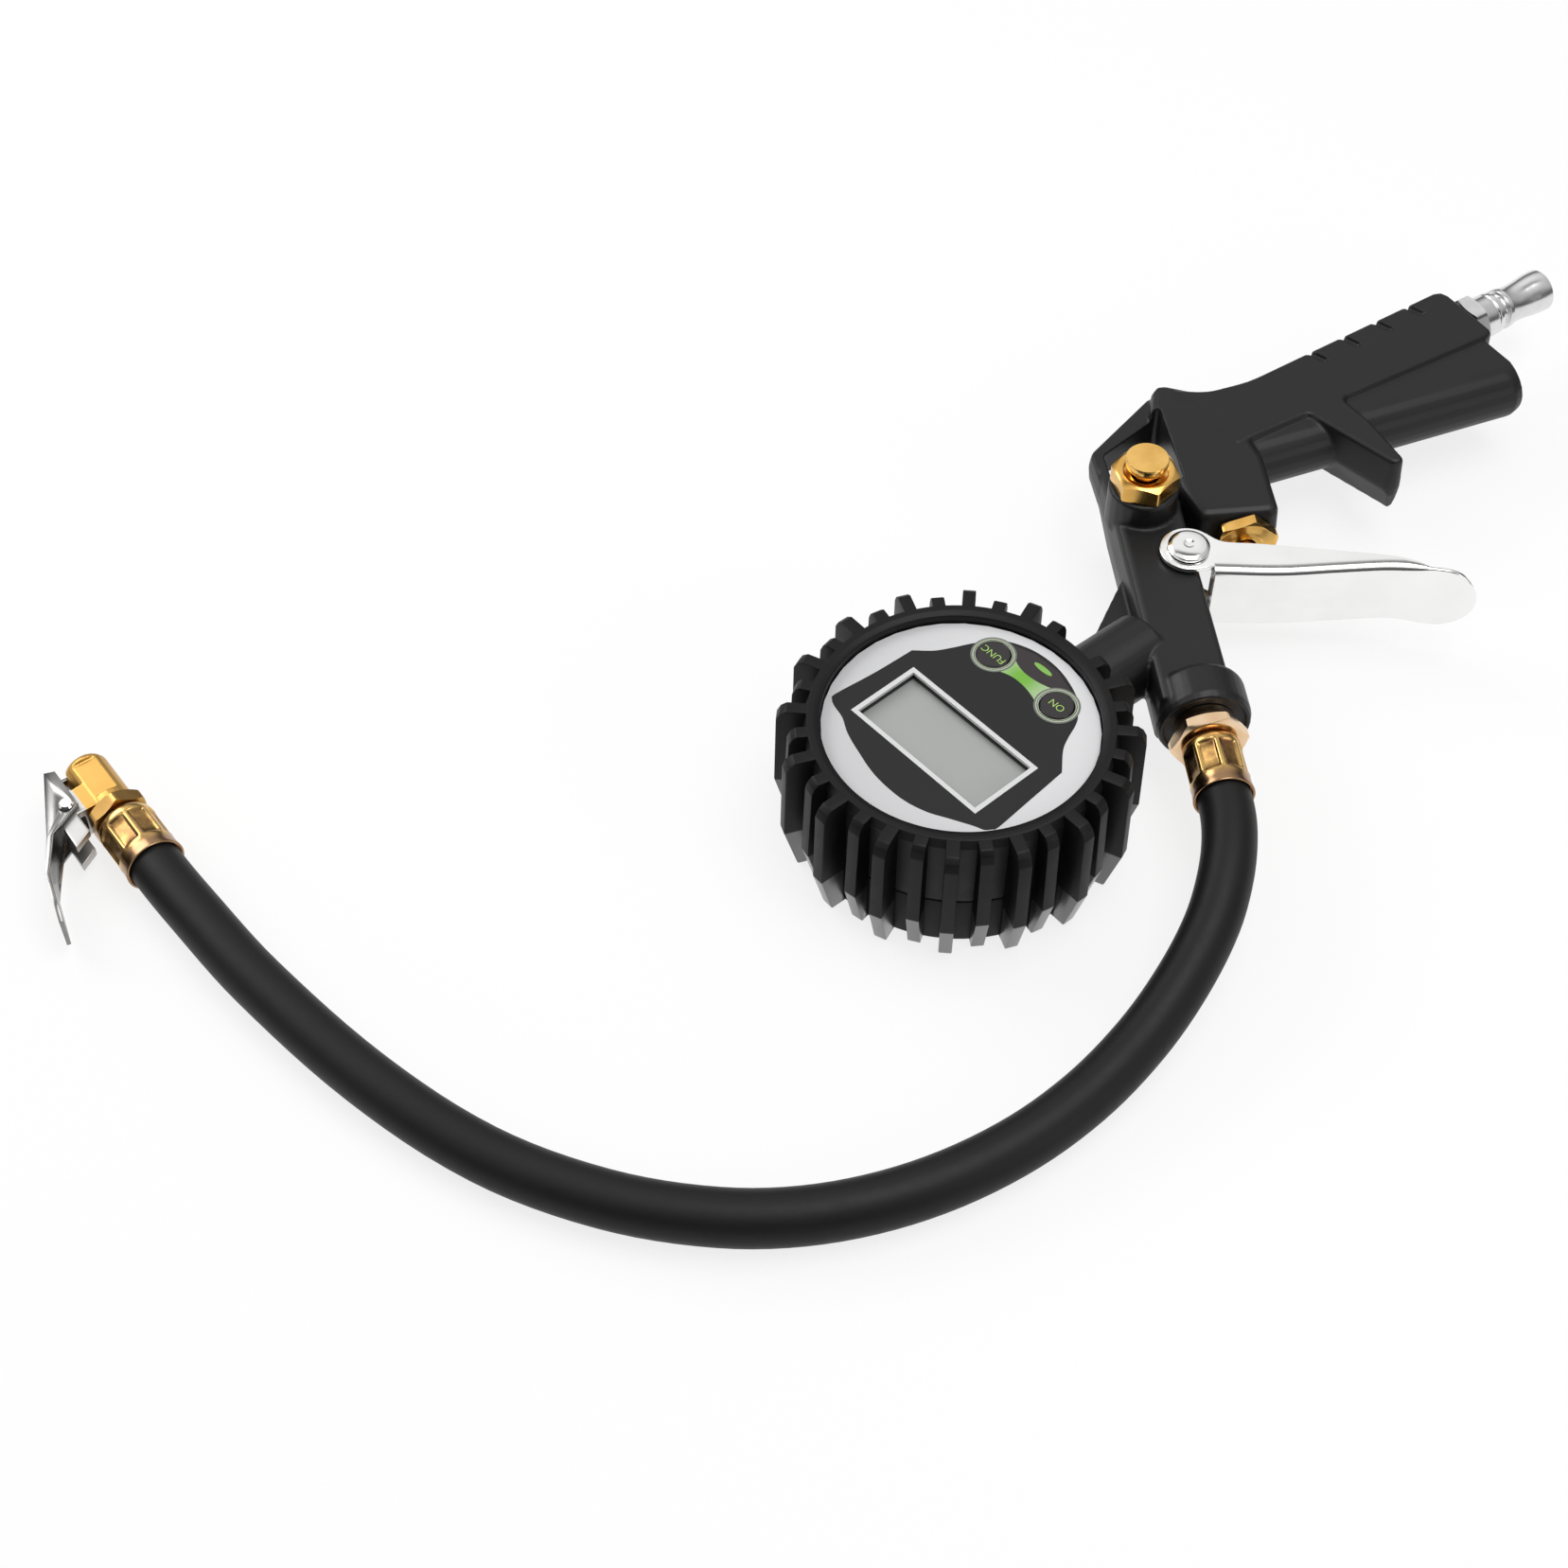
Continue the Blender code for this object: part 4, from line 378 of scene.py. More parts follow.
def turned(rings, matrix, segments=96, closed=False):
    """Bmesh turned about the matrix's Z axis; a ring is (z, radius) or a function of the angle."""
    mesh = bmesh.new()
    rows = []
    for ring in rings:
        if not callable(ring) and ring[1] <= 0:
            rows.append([mesh.verts.new((0, 0, ring[0]))])
            continue
        row = []
        for i in range(segments):
            angle = 2 * pi * i / segments
            z, radius = ring(angle) if callable(ring) else ring
            row.append(mesh.verts.new((radius * cos(angle), radius * sin(angle), z)))
        rows.append(row)
    pairs = list(zip(rows, rows[1:]))
    if closed:
        pairs.append((rows[-1], rows[0]))
    for low, high in pairs:
        for i in range(segments):
            j = (i + 1) % segments
            corners = [low[i % len(low)], low[j % len(low)], high[j % len(high)], high[i % len(high)]]
            corners = [c for k, c in enumerate(corners) if c is not corners[k - 1]]
            if len(corners) > 2:
                mesh.faces.new(corners)
    bmesh.ops.recalc_face_normals(mesh, faces=mesh.faces)
    mesh.transform(matrix)
    return mesh


def eased(profile, radius=0.0002, steps=2):
    """Turned profile whose corners are rounded by a small radius."""
    points = [Vector(p) for p in profile]
    result = []
    for i, here in enumerate(points):
        before = points[i - 1] - here
        after = points[(i + 1) % len(points)] - here
        if here.y <= 0 or before.length < 1e-9 or after.length < 1e-9:
            result.append(here)
            continue
        half = before.angle(after) / 2
        if half > radians(84):
            result.append(here)
            continue
        reach = min(radius / tan(half), 0.45 * before.length, 0.45 * after.length)
        start = here + before.normalized() * reach
        end = here + after.normalized() * reach
        for k in range(steps + 1):
            t = k / steps
            result.append(start * (1 - t) ** 2 + here * 2 * t * (1 - t) + end * t ** 2)
    return [tuple(p) for p in result]


def hexagon(angle, across):
    """Radius of a hexagon across flats, with its corners a little trimmed."""
    sector = 2 * pi / 6
    offset = angle % sector - sector / 2
    return min(across / 2 / cos(offset), across / 2 / cos(sector / 2) * CORNER_TRIM)


def hex_ring(across, z, cone, slope, inner=None):
    """Ring at a nut's end: the hexagon, chamfered outside the radius cone by a slope."""
    def ring(angle):
        radius = hexagon(angle, across)
        if inner is not None:
            radius = min(radius, inner)
        return z - slope * max(0.0, radius - cone), radius
    return ring


def hex_nut(across, low, high, cone, slope=0.55, low_slope=0.0):
    """Rings of a nut's outside, from low to high, with the scalloped edge that a conical chamfer leaves."""
    return [hex_ring(across, low, cone, -low_slope), hex_ring(across, high, cone, slope),
            hex_ring(across, high, cone, slope, cone + 0.0002), (high, cone - 0.0002)]


def through(points, steps=6):
    """Smooth open curve through points."""
    ends = [points[0] * 2 - points[1]] + points + [points[-1] * 2 - points[-2]]
    curve = []
    for a, b, c, d in zip(ends, ends[1:], ends[2:], ends[3:]):
        for k in range(steps):
            t = k / steps
            curve.append(0.5 * (2 * b + (c - a) * t + (2 * a - 5 * b + 4 * c - d) * t ** 2
                                + (3 * b - a - 3 * c + d) * t ** 3))
    return curve


def circle(centre, radius, count=64):
    angles = [2 * pi * i / count for i in range(count)]
    return [centre + radius * Vector((cos(a), sin(a))) for a in angles]


def filled(outlines, thick, edge=0.0):
    """Flat plate about z = 0; outlines inside the first one are holes, and edge is its rounding."""
    curve = bpy.data.curves.new("outline", 'CURVE')
    curve.dimensions = '2D'
    curve.fill_mode = 'BOTH'
    curve.extrude = thick / 2 - edge
    curve.bevel_depth = edge
    curve.offset = -edge
    for outline in outlines:
        spline = curve.splines.new('POLY')
        spline.points.add(len(outline) - 1)
        for point, place in zip(spline.points, outline):
            point.co = (place[0], place[1], 0.0, 1.0)
        spline.use_cyclic_u = True
    item = bpy.data.objects.new("outline", curve)
    bpy.context.scene.collection.objects.link(item)
    return baked(item)


print("mesh helpers ready")

# %% [markdown]
# ## Hose
# The hose is a fixed length of 14 mm rubber that springs out of its ferrule, falls to the table and lies in
# one wide curve. A smooth curve passes the CAD route's own points, and Geometry Nodes sweep a circle along
# it. The photograph shows it from end to end, so this is its whole length. The tube's radius is a tenth of a
# millimetre less than the hose's, so that it stays inside the CAD solid.

# %% Route
TUBE_RADIUS = 0.0069
HOSE_START = Vector((0.065, -0.0160, 0.020))
HOSE_FALL = ((0.0640, -0.0270, 0.0198), (0.0608, -0.0385, 0.0188), (0.0551, -0.0510, 0.0164),
             (0.0455, -0.0648, 0.0132), (0.0330, -0.0785, 0.0100), (0.0170, -0.0920, 0.0080),
             (-0.0020, -0.1035, 0.0072), (-0.0245, -0.1120, 0.0071), (-0.0480, -0.1157, 0.0071),
             (-0.0707, -0.1142, 0.0071), (-0.0965, -0.1066, 0.0071), (-0.1234, -0.0919, 0.0071),
             (-0.1500, -0.0684, 0.0072), (-0.1763, -0.0377, 0.0075), (-0.1925, -0.0147, 0.0080))
SOCKET = 0.0015
STRAIGHT = 0.001


def hose_points():
    """Smooth curve through the route's points that leaves each ferrule along its axis."""
    way = Vector((0, -1, 0))
    end = CHUCK_FRAME.translation
    back = -CHUCK_FRAME.col[0].to_3d()
    knots = [HOSE_START + way * STRAIGHT] + [Vector(p) for p in HOSE_FALL] + [end + back * STRAIGHT]
    ways = [way] + [(c - a).normalized() for a, c in zip(knots, knots[2:])] + [-back]
    points = [HOSE_START - way * SOCKET]
    for here, there, enter, leave in zip(knots, knots[1:], ways, ways[1:]):
        span = (there - here).length
        for k in range(6):
            t = k / 6
            points.append(here * (2 * t ** 3 - 3 * t ** 2 + 1) + enter * span * (t ** 3 - 2 * t ** 2 + t)
                          + there * (3 * t ** 2 - 2 * t ** 3) + leave * span * (t ** 3 - t ** 2))
    return points + [knots[-1], end - back * SOCKET]


route = hose_points()
HOSE_LENGTH = sum((b - a).length for a, b in zip(route, route[1:]))
print("hose", round(HOSE_LENGTH, 4), "m in", len(route), "points")


# %% Hose swept along its route
def geometry_modifier(item, build, **values):
    """Adds a Geometry Nodes modifier; build gets the tree, the incoming geometry and its named inputs."""
    group = bpy.data.node_groups.new(item.name + " nodes", 'GeometryNodeTree')
    group.interface.new_socket("Geometry", in_out='INPUT', socket_type='NodeSocketGeometry')
    group.interface.new_socket("Geometry", in_out='OUTPUT', socket_type='NodeSocketGeometry')
    kinds = {float: 'NodeSocketFloat', bpy.types.Material: 'NodeSocketMaterial',
             bpy.types.Object: 'NodeSocketObject'}
    sockets = {}
    for key, value in values.items():
        kind = next(k for t, k in kinds.items() if isinstance(value, t))
        sockets[key] = group.interface.new_socket(key, in_out='INPUT', socket_type=kind)
    tree = Tree(group)
    source = group.nodes.new('NodeGroupInput')
    wires = {key: Wire(tree, source.outputs[key]) for key in values}
    result = build(tree, Wire(tree, source.outputs["Geometry"]), wires)
    sink = group.nodes.new('NodeGroupOutput')
    tree.feed(sink.inputs["Geometry"], result)
    modifier = item.modifiers.new("shape", 'NODES')
    modifier.node_group = group
    for key, value in values.items():
        modifier[sockets[key].identifier] = value


def sweep(tree, geometry, wires):
    line = tree.add('GeometryNodeMeshToCurve', None, {0: geometry})
    circle = tree.add('GeometryNodeCurvePrimitiveCircle', None, {"Resolution": 32, "Radius": wires["Radius"]})
    tube = tree.add('GeometryNodeCurveToMesh', None, {0: line, 1: circle, "Fill Caps": True})
    real = tree.add('GeometryNodeRealizeInstances', None, {0: tube})
    return tree.add('GeometryNodeSetMaterial', None, {0: real, "Material": wires["Material"]})


def hose_rubber():
    skin = Finish("hose rubber", (0.006, 0.006, 0.006), 0.5, Specular_IOR_Level=0.24)
    broad = skin.noise(0.02, 3)
    skin.set("Base Color", skin.blend((0.0045, 0.0045, 0.0045), (0.008, 0.008, 0.008), broad))
    skin.set("Roughness", 0.44 + 0.12 * skin.noise(0.003, 3))
    skin.bump(skin.noise(0.0007, 4, 0.6), 0.00005, 0.35)
    return skin.material


line = bpy.data.meshes.new("hose line")
line.from_pydata([tuple(p) for p in route], [(i, i + 1) for i in range(len(route) - 1)], [])
carrier = bpy.data.objects.new("hose line", line)
bpy.context.scene.collection.objects.link(carrier)
HOSE_RUBBER = hose_rubber()
geometry_modifier(carrier, sweep, Radius=TUBE_RADIUS, Material=HOSE_RUBBER)
hose = piece("rubber_hose", baked(carrier), HOSE_RUBBER, nodes=["hose"], smooth=50)
print("hose mesh", len(hose.data.polygons), "faces")

# %% [markdown]
# ## Gun casting
# The casting has drafted walls, rounded edges and soft inside corners everywhere. The CAD solid has crisp
# joins, so a merged copy is remeshed into fine even faces and smoothed: that rolls every edge by about half
# a millimetre, as the die and the powder coat do.


# %% Gun casting
def softened(name, voxel):
    """Remeshed, smoothed copy of a CAD node's mesh."""
    source = merged(name)
    data = bpy.data.meshes.new(name + " soft")
    source.to_mesh(data)
    source.free()
    item = bpy.data.objects.new(name + " soft", data)
    bpy.context.scene.collection.objects.link(item)
    remesh = item.modifiers.new("remesh", 'REMESH')
    remesh.mode = 'VOXEL'
    remesh.voxel_size = voxel
    remesh.adaptivity = 0.0
    relax = item.modifiers.new("smooth", 'SMOOTH')
    relax.factor = 0.6
    relax.iterations = 2
    return baked(item)


def edged(name, width):
    """Copy of a CAD node's mesh with its flat faces joined and its edges rounded."""
    source = merged(name)
    bmesh.ops.dissolve_limit(source, angle_limit=radians(0.3), verts=source.verts, edges=source.edges)
    data = bpy.data.meshes.new(name + " edged")
    source.to_mesh(data)
    source.free()
    item = bpy.data.objects.new(name + " edged", data)
    bpy.context.scene.collection.objects.link(item)
    bevel = item.modifiers.new("bevel", 'BEVEL')
    bevel.width = width
    bevel.segments = 3
    bevel.limit_method = 'ANGLE'
    bevel.angle_limit = radians(34)
    bevel.harden_normals = True
    return baked(item)


casting = piece("die_cast_gun", softened("gun_body", voxel=0.00045), COAT, nodes=["gun_body"], smooth=180)
print("casting", len(casting.data.polygons), "faces")

# %% [markdown]
# ## Rubber boot
# The boot is a barrel with tall and short fins in turn, each cut back to a chamfer over its lower third.
# Fins repeat round an axis, so Geometry Nodes put two fin shapes on the axis and turn each copy to its place,
# leaving out the place where the gauge's stem passes.

# %% Boot barrel and fins
FIN_COUNT = 32
FIN_PHASE = radians(78.8)
STEM_TURN = radians(33.0)
STEM_GAP = radians(8)


def fin(reach, low, high, top, thickness=0.0034):
    """One fin, standing on the barrel: widest a third of the way up, cut back below and rounded on top."""
    foot, barrel = 0.0372, 0.0385
    shares = ((0.0001, low), (0.0010, low + 0.04), (0.0136, 1.0), (0.0367, high), (0.0387, (high + top) / 2),
              (0.0399, top - 0.08))
    outline = [(0.0001, foot)] + [(z, barrel + share * reach) for z, share in shares] + [(0.0399, foot)]
    mesh = bmesh.new()
    sides = [[mesh.verts.new((r, y, z)) for z, r in outline] for y in (-thickness / 2, thickness / 2)]
    for i in range(len(outline)):
        j = (i + 1) % len(outline)
        mesh.faces.new((sides[0][i], sides[0][j], sides[1][j], sides[1][i]))
    mesh.faces.new(sides[0][::-1])
    mesh.faces.new(sides[1])
    bmesh.ops.recalc_face_normals(mesh, faces=mesh.faces)
    edges = [e for e in mesh.edges if max(v.co.x for v in e.verts) > (foot + barrel) / 2]
    bmesh.ops.bevel(mesh, geom=edges, offset=0.00035, segments=2, profile=0.6, affect='EDGES')
    data = bpy.data.meshes.new("fin")
    mesh.to_mesh(data)
    mesh.free()
    item = bpy.data.objects.new("fin", data)
    bpy.context.scene.collection.objects.link(item)
    return item


def ring_of_fins(tree, geometry, wires):
    index = tree.add('GeometryNodeInputIndex')
    turn = index * (2 * pi / FIN_COUNT) + wires["Phase"]
    spin = tree.add('ShaderNodeCombineXYZ', None, {2: turn})
    odd = index.maths('MODULO', 2.0)
    away = (turn - wires["Stem"]).maths('WRAP', pi, -pi)
    kept = away.maths('ABSOLUTE').maths('GREATER_THAN', STEM_GAP)
    parts = []
    for key, wanted in (("Tall", 1 - odd), ("Short", odd)):
        shape = tree.add('GeometryNodeObjectInfo', None, {0: wires[key]}, "Geometry")
        feeds = {"Points": geometry, "Selection": wanted * kept, "Instance": shape, "Rotation": spin}
        parts.append(tree.add('GeometryNodeInstanceOnPoints', None, feeds))
    joined = tree.tree.nodes.new('GeometryNodeJoinGeometry')
    for part in parts:
        tree.tree.links.new(part.socket, joined.inputs[0])
    real = tree.add('GeometryNodeRealizeInstances', None, {0: Wire(tree, joined.outputs[0])})
    return tree.add('GeometryNodeSetMaterial', None, {0: real, "Material": wires["Material"]})


tall, short = fin(0.0078, 0.52, 0.94, 0.70), fin(0.0055, 0.36, 0.84, 0.56)
dots = bpy.data.meshes.new("fin places")
dots.from_pydata([(0, 0, 0)] * FIN_COUNT, [], [])
carrier = bpy.data.objects.new("fin places", dots)
bpy.context.scene.collection.objects.link(carrier)
geometry_modifier(carrier, ring_of_fins, Phase=FIN_PHASE, Stem=STEM_TURN, Tall=tall, Short=short,
                  Material=BOOT_RUBBER)
fins = baked(carrier)
for item in (tall, short):
    bpy.data.objects.remove(item, do_unlink=True)
BARREL = [(0.0, 0.0330), (0.0, 0.0379), (0.0009, 0.0385), (0.0158, 0.0385), (0.0160, 0.0382),
          (0.0163, 0.0382), (0.0165, 0.0385), (0.0360, 0.0388), (0.0374, 0.0390), (0.0384, 0.0386),
          (0.0400, 0.0383), (0.0400, 0.0366), (0.0394, 0.0350), (0.0363, 0.0350), (0.0363, 0.0363),
          (0.0019, 0.0363), (0.0019, 0.0330)]
barrel = turned(eased(BARREL, 0.0003), Matrix(), 144, True)
barrel.from_mesh(fins)
boot = piece("ribbed_boot", barrel, BOOT_RUBBER, nodes=["gauge_boot"], smooth=40)
print("boot", len(boot.data.polygons), "faces")

# %% [markdown]
# ## Turned brass
# The nuts are cut from hexagon bar: a conical tool takes the corners off, which leaves the curved scallops
# on every face. Turning one ring of points with that formula gives the same edge without any boolean.

# %% Nuts and the release button
BLEED_TOP = Matrix.Translation((0.0615, 0.0803, GUN_Z + 0.016))
VALVE_END = (0.089, 0.073, GUN_Z)
OUTLET_END = (0.065, 0.0075, GUN_Z)
DOWN_Y = (0, -1, 0)


def brass(name, matrix, dark=BRASS_DARK, light=BRASS_LIGHT, roughness=0.15, rings=0.0005):
    return metal(name, dark, light, roughness, matrix, rings)


place = BLEED_TOP @ Matrix.Rotation(radians(40), 4, 'Z')
bore, pocket = 0.0040, 0.00600
rings = [(-0.0088, 0.0064), (0.0003, 0.0064)] + hex_nut(0.0163, 0.0003, 0.0057, 0.0076, 0.6)
inside = [(0.0057, 0.0068), (0.0057, pocket), (0.0040, pocket), (0.0040, bore), (-0.0088, bore)]
rings += eased(inside, 0.0001)[3:]
piece("bleed_hexagon", turned(rings, place, 96, True), brass("bleed nut brass", place), nodes=["bleed_nut"])
profile = [(-0.0098, 0.0), (-0.0110, 0.0046), (-0.0094, 0.0048), (-0.0094, 0.0036), (0.0071, 0.0036),
           (0.0071, 0.00575), (0.0098, 0.00575), (0.0098, 0.0)]
rings = [(-0.0110, 0.0)] + eased(profile, 0.00035, 3)[2:-2] + [(0.0098, 0.0)]
button_brass = brass("button brass", BLEED_TOP, rings=0.00035)
piece("bleed_push_button", turned(rings, BLEED_TOP, 72), button_brass, "bleed", ["bleed_button"])

place = axis(VALVE_END, DOWN_Y, 18)
rings = [(-0.010, 0.0059), (0.0003, 0.0059)] + hex_nut(0.0162, 0.0003, 0.0037, 0.0080, 0.45)
rings += eased([(0.0037, 0.0060), (0.0037, 0.0032), (0.0031, 0.0026), (-0.010, 0.0026)], 0.0001)[1:]
piece("valve_hexagon", turned(rings, place, 96, True), brass("valve nut brass", place),
      nodes=["inflate_valve_nut"])

place = axis(OUTLET_END, DOWN_Y, 10)
rings = [(-0.009, 0.0062), (-0.0009, 0.0062), (-0.0009, 0.0078), (0.0026, 0.0078)]
rings += hex_nut(0.018, 0.0026, 0.0064, 0.0086, 0.5, 0.5)
rings += [(0.0064, 0.0045), (0.0087, 0.0045), (0.0087, 0.0030), (-0.009, 0.0030)]
OUTLET_BRASS = brass("outlet brass", place, (0.72, 0.46, 0.25), (0.93, 0.72, 0.50), 0.14)
piece("outlet_hexagon", turned(rings, place, 96, True), OUTLET_BRASS, nodes=["outlet_fitting"])
print("brass nuts made")

# %% [markdown]
# ## Crimped ferrules
# A ferrule is a thin brass cup that a press squeezes on the hose. The dies leave eight shallow panels with
# round ribs between them. Heat leaves random brown tints, the ribs and round bands are painted a lighter gold
# as a painted highlight, and a band towards the hose end is darker.


# %% Ferrules
PANELS = 8
PANEL_FLAT = 0.00685
FERRULE_RADIUS = 0.0077
FERRULE_LENGTH = 0.0168
FERRULE_SEAT = 0.0067
RIB_START, RIB_BLEND = 14.5, 5.5


def panel_ring(z, pressed):
    """Ring of a ferrule: pressed is 0 where it is round and 1 where its panels are deepest."""
    def ring(angle):
        sector = 2 * pi / PANELS
        offset = abs(angle % sector - sector / 2)
        rib = min(1.0, max(0.0, (degrees(offset) - RIB_START) / RIB_BLEND))
        rib = rib * rib * (3 - 2 * rib)
        panel = PANEL_FLAT / cos(offset) * (1 - rib) + FERRULE_RADIUS * rib
        return z, FERRULE_RADIUS + (min(panel, FERRULE_RADIUS) - FERRULE_RADIUS) * pressed
    return ring


def ferrule(name, matrix, node):
    rings = [(0.0026, 0.0), (0.0026, 0.0049), (0.0, 0.0049), (0.0, 0.0066), (0.0002, 0.0070),
             (0.0007, 0.0074), (0.0014, 0.0076), (0.0024, 0.0077)]
    for z, pressed in ((0.0027, 0.0), (0.0030, 0.25), (0.0033, 0.75), (0.0037, 1.0), (0.0060, 1.0),
                       (0.0085, 1.0), (0.0112, 1.0), (0.0116, 0.75), (0.0119, 0.25), (0.0122, 0.0)):
        rings.append(panel_ring(z, pressed))
    rings += [(0.0132, 0.0076), (0.0150, 0.0077), (0.0164, 0.0079), (0.01672, 0.00788), (0.0168, 0.0078),
              (0.0168, 0.00735), (0.0150, 0.0073), (0.0150, 0.0)]
    heat_tint_and_highlight = Finish(name + " tint", BRONZE_LIGHT, 0.2, 1.0)
    x, y, z = heat_tint_and_highlight.parts(heat_tint_and_highlight.place(matrix))
    radius = (x * x + y * y).maths('SQRT')
    # Where the radius is high, on the ribs and round bands, the brass is painted a lighter gold: a painted
    # highlight.
    high = radius.within(0.0070, 0.0078)
    heat = heat_tint_and_highlight.noise(0.006, 4, 0.6)
    hot = heat_tint_and_highlight.blend(BRONZE_DARK, BRONZE_LIGHT, heat.within(0.3, 0.7))
    gold = heat_tint_and_highlight.blend(hot, (0.80, 0.52, 0.18), high * 0.6)
    # A band towards the hose end is darker.
    rim = z.within(0.0115, 0.0150)
    heat_tint_and_highlight.set("Base Color", heat_tint_and_highlight.blend(gold, (0.26, 0.15, 0.10), rim * 0.8))
    heat_tint_and_highlight.set("Roughness", 0.16 + 0.14 * heat_tint_and_highlight.noise(0.0015, 4))
    heat_tint_and_highlight.bump(heat_tint_and_highlight.noise(0.0012, 3), 0.00002, 0.25)
    piece(name, turned(rings, matrix, 192), heat_tint_and_highlight.material, nodes=[node], smooth=50)


gun_seat = axis((OUTLET_END[0], OUTLET_END[1] - FERRULE_SEAT, GUN_Z), DOWN_Y)
ferrule("crimped_ferrule_gun", gun_seat, "hose_ferrule_gun")
chuck_seat = CHUCK_FRAME @ axis((FERRULE_LENGTH, 0, 0), (-1, 0, 0))
ferrule("crimped_ferrule_chuck", chuck_seat, "hose_ferrule_chuck")
print("ferrules made")

# %% [markdown]
# ## Air plug and pivot pin
# The plug is turned from steel and plated: a hexagon, a shoulder, a groove that the coupling's balls drop
# into and a smooth, slightly waisted nose. The pin has a low domed head with a small dimple in its middle.

# %% Plug and pin
HANDLE_TURN = radians(27)
PLUG_ALONG, PLUG_ASIDE = 0.1286, 0.0348
way = Vector((cos(HANDLE_TURN), sin(HANDLE_TURN), 0))
side = Vector((-sin(HANDLE_TURN), cos(HANDLE_TURN), 0))
place = axis(PIVOT + side * PLUG_ASIDE + way * PLUG_ALONG, way)
rings = [(-0.012, 0.0052), (0.0014, 0.0052)] + hex_nut(0.0145, 0.0014, 0.0068, 0.0069, 0.6, 0.6)
NOSE = [(0.0068, 0.0069), (0.0068, 0.0063), (0.0112, 0.0063), (0.0114, 0.0059), (0.0119, 0.0059),
        (0.0121, 0.0062), (0.0136, 0.0062), (0.0138, 0.0049), (0.0158, 0.0049), (0.0160, 0.0060),
        (0.0175, 0.0060), (0.0190, 0.0056), (0.0215, 0.0054), (0.0245, 0.0056), (0.0275, 0.0060),
        (0.0300, 0.0062), (0.0324, 0.0062), (0.0330, 0.0056), (0.0330, 0.0042), (0.0255, 0.0040),
        (0.0245, 0.0028), (-0.012, 0.0028)]
rings += eased(NOSE, 0.00025, 3)[2:]
PLUG_PLATE = metal("plug plating", (0.60, 0.60, 0.60), (0.80, 0.80, 0.80), 0.20, place, 0.0004)
piece("air_plug", turned(rings, place, 96, True), PLUG_PLATE, nodes=["inlet_plug"])

place = Matrix.Translation(PIVOT)
rings = eased([(-0.0130, 0.0), (-0.0130, 0.0020), (-0.0125, 0.0025), (-0.0114, 0.0025), (-0.0114, 0.0019),
               (-0.0108, 0.0019), (-0.0108, 0.0025), (0.0108, 0.0025), (0.0108, 0.0056), (0.0117, 0.0056),
               (0.0122, 0.0046), (0.0124, 0.0030), (0.0124, 0.0016), (0.0122, 0.0010), (0.0122, 0.0)], 0.0002)
piece("pivot_pin", turned(rings, place, 72), NICKEL, nodes=["trigger_pin"])

# %% [markdown]
# ## Pressed and milled pieces
# The lever and the clip are pressed from sheet and tumbled, so their edges are soft. The lever is a U-shaped
# section swept along two curves, the clip is its CAD solid with bevelled edges, and the milled chuck is its
# CAD solid remeshed and smoothed, as the casting is.

# %% Lever, clip and chuck
LEVER_HALF, SHEET, SHEET_EDGE, BEND = 0.0105, 0.0014, 0.0003, 0.0020
EASE, EASING = 0.0110, radians(12)
LEVER_START, LEVER_STRAIGHT, FLANGE_END = 0.0056, 0.0598, 0.0640
ROUND_START, ROUND_REACH = 0.0654, 0.0098
# The ears are a hair thinner than the sheet, so that their faces don't coincide with the flanges'.
EAR_RADIUS, EAR_HOLE, EAR_THINNER = 0.0077, 0.0030, 0.00002
WEB_POINTS = ((0.0056, -0.0090), (0.0227, -0.0113), (0.0387, -0.0118), (0.0521, -0.0124),
              (0.0622, -0.0143), (0.0668, -0.0155), (0.0710, -0.0166), (0.0752, -0.0181))
EDGE_POINTS = ((0.0056, 0.0053), (0.0080, 0.0028), (0.0110, 0.0014), (0.0199, -0.0002), (0.0403, -0.0048),
               (0.0531, -0.0079), (0.0593, -0.0105), (0.0624, -0.0131), (0.0640, -0.0136))
WEB = through([Vector(p) for p in WEB_POINTS])
FREE_EDGE = through([Vector(p) for p in EDGE_POINTS])


def height_at(line, x):
    """Height of a curve at x."""
    for a, b in zip(line, line[1:]):
        if a.x <= x <= b.x:
            return a.y + (b.y - a.y) * (x - a.x) / (b.x - a.x)
    return line[-1].y if x > line[-1].x else line[0].y


def lever_section(x, half):
    """Ring of the U-shaped sheet at x: two flanges with rounded free edges, two bends and the web."""
    web = height_at(WEB, x)
    rise = max(height_at(FREE_EDGE, x) - web, SHEET) if x < FLANGE_END else SHEET
    share = min(1.0, (rise - SHEET_EDGE) / (EASE * sin(EASING) + BEND * (1 - sin(EASING))))

    def bent(inward):
        """Points of a bend that eases out of the flange and then turns tightly into the web."""
        wide, tight = EASE * share - inward, max(BEND * share - inward, 0.00005)
        low = web + inward + tight * (1 - sin(EASING))
        high = low + wide * sin(EASING)
        depth = half - inward
        slow = [EASING * k / 6 for k in range(6)]
        points = [(high - wide * sin(a), depth - wide + wide * cos(a)) for a in slow]
        depth -= wide * (1 - cos(EASING)) + tight * cos(EASING)
        fast = [EASING + (pi / 2 - EASING) * k / 8 for k in range(9)]
        return points + [(low + tight * sin(EASING) - tight * sin(a), depth + tight * cos(a)) for a in fast]

    wall = half - SHEET
    top, shoulder = web + rise, web + rise - SHEET_EDGE
    outer = [(top, wall + SHEET_EDGE), (top, half - SHEET_EDGE), (shoulder, half)] + bent(0.0)
    inner = bent(SHEET) + [(shoulder, wall)]
    side = outer + [(y, -z) for y, z in outer[::-1]] + [(y, -z) for y, z in inner[::-1]] + inner
    return [(x, y, z) for y, z in side]


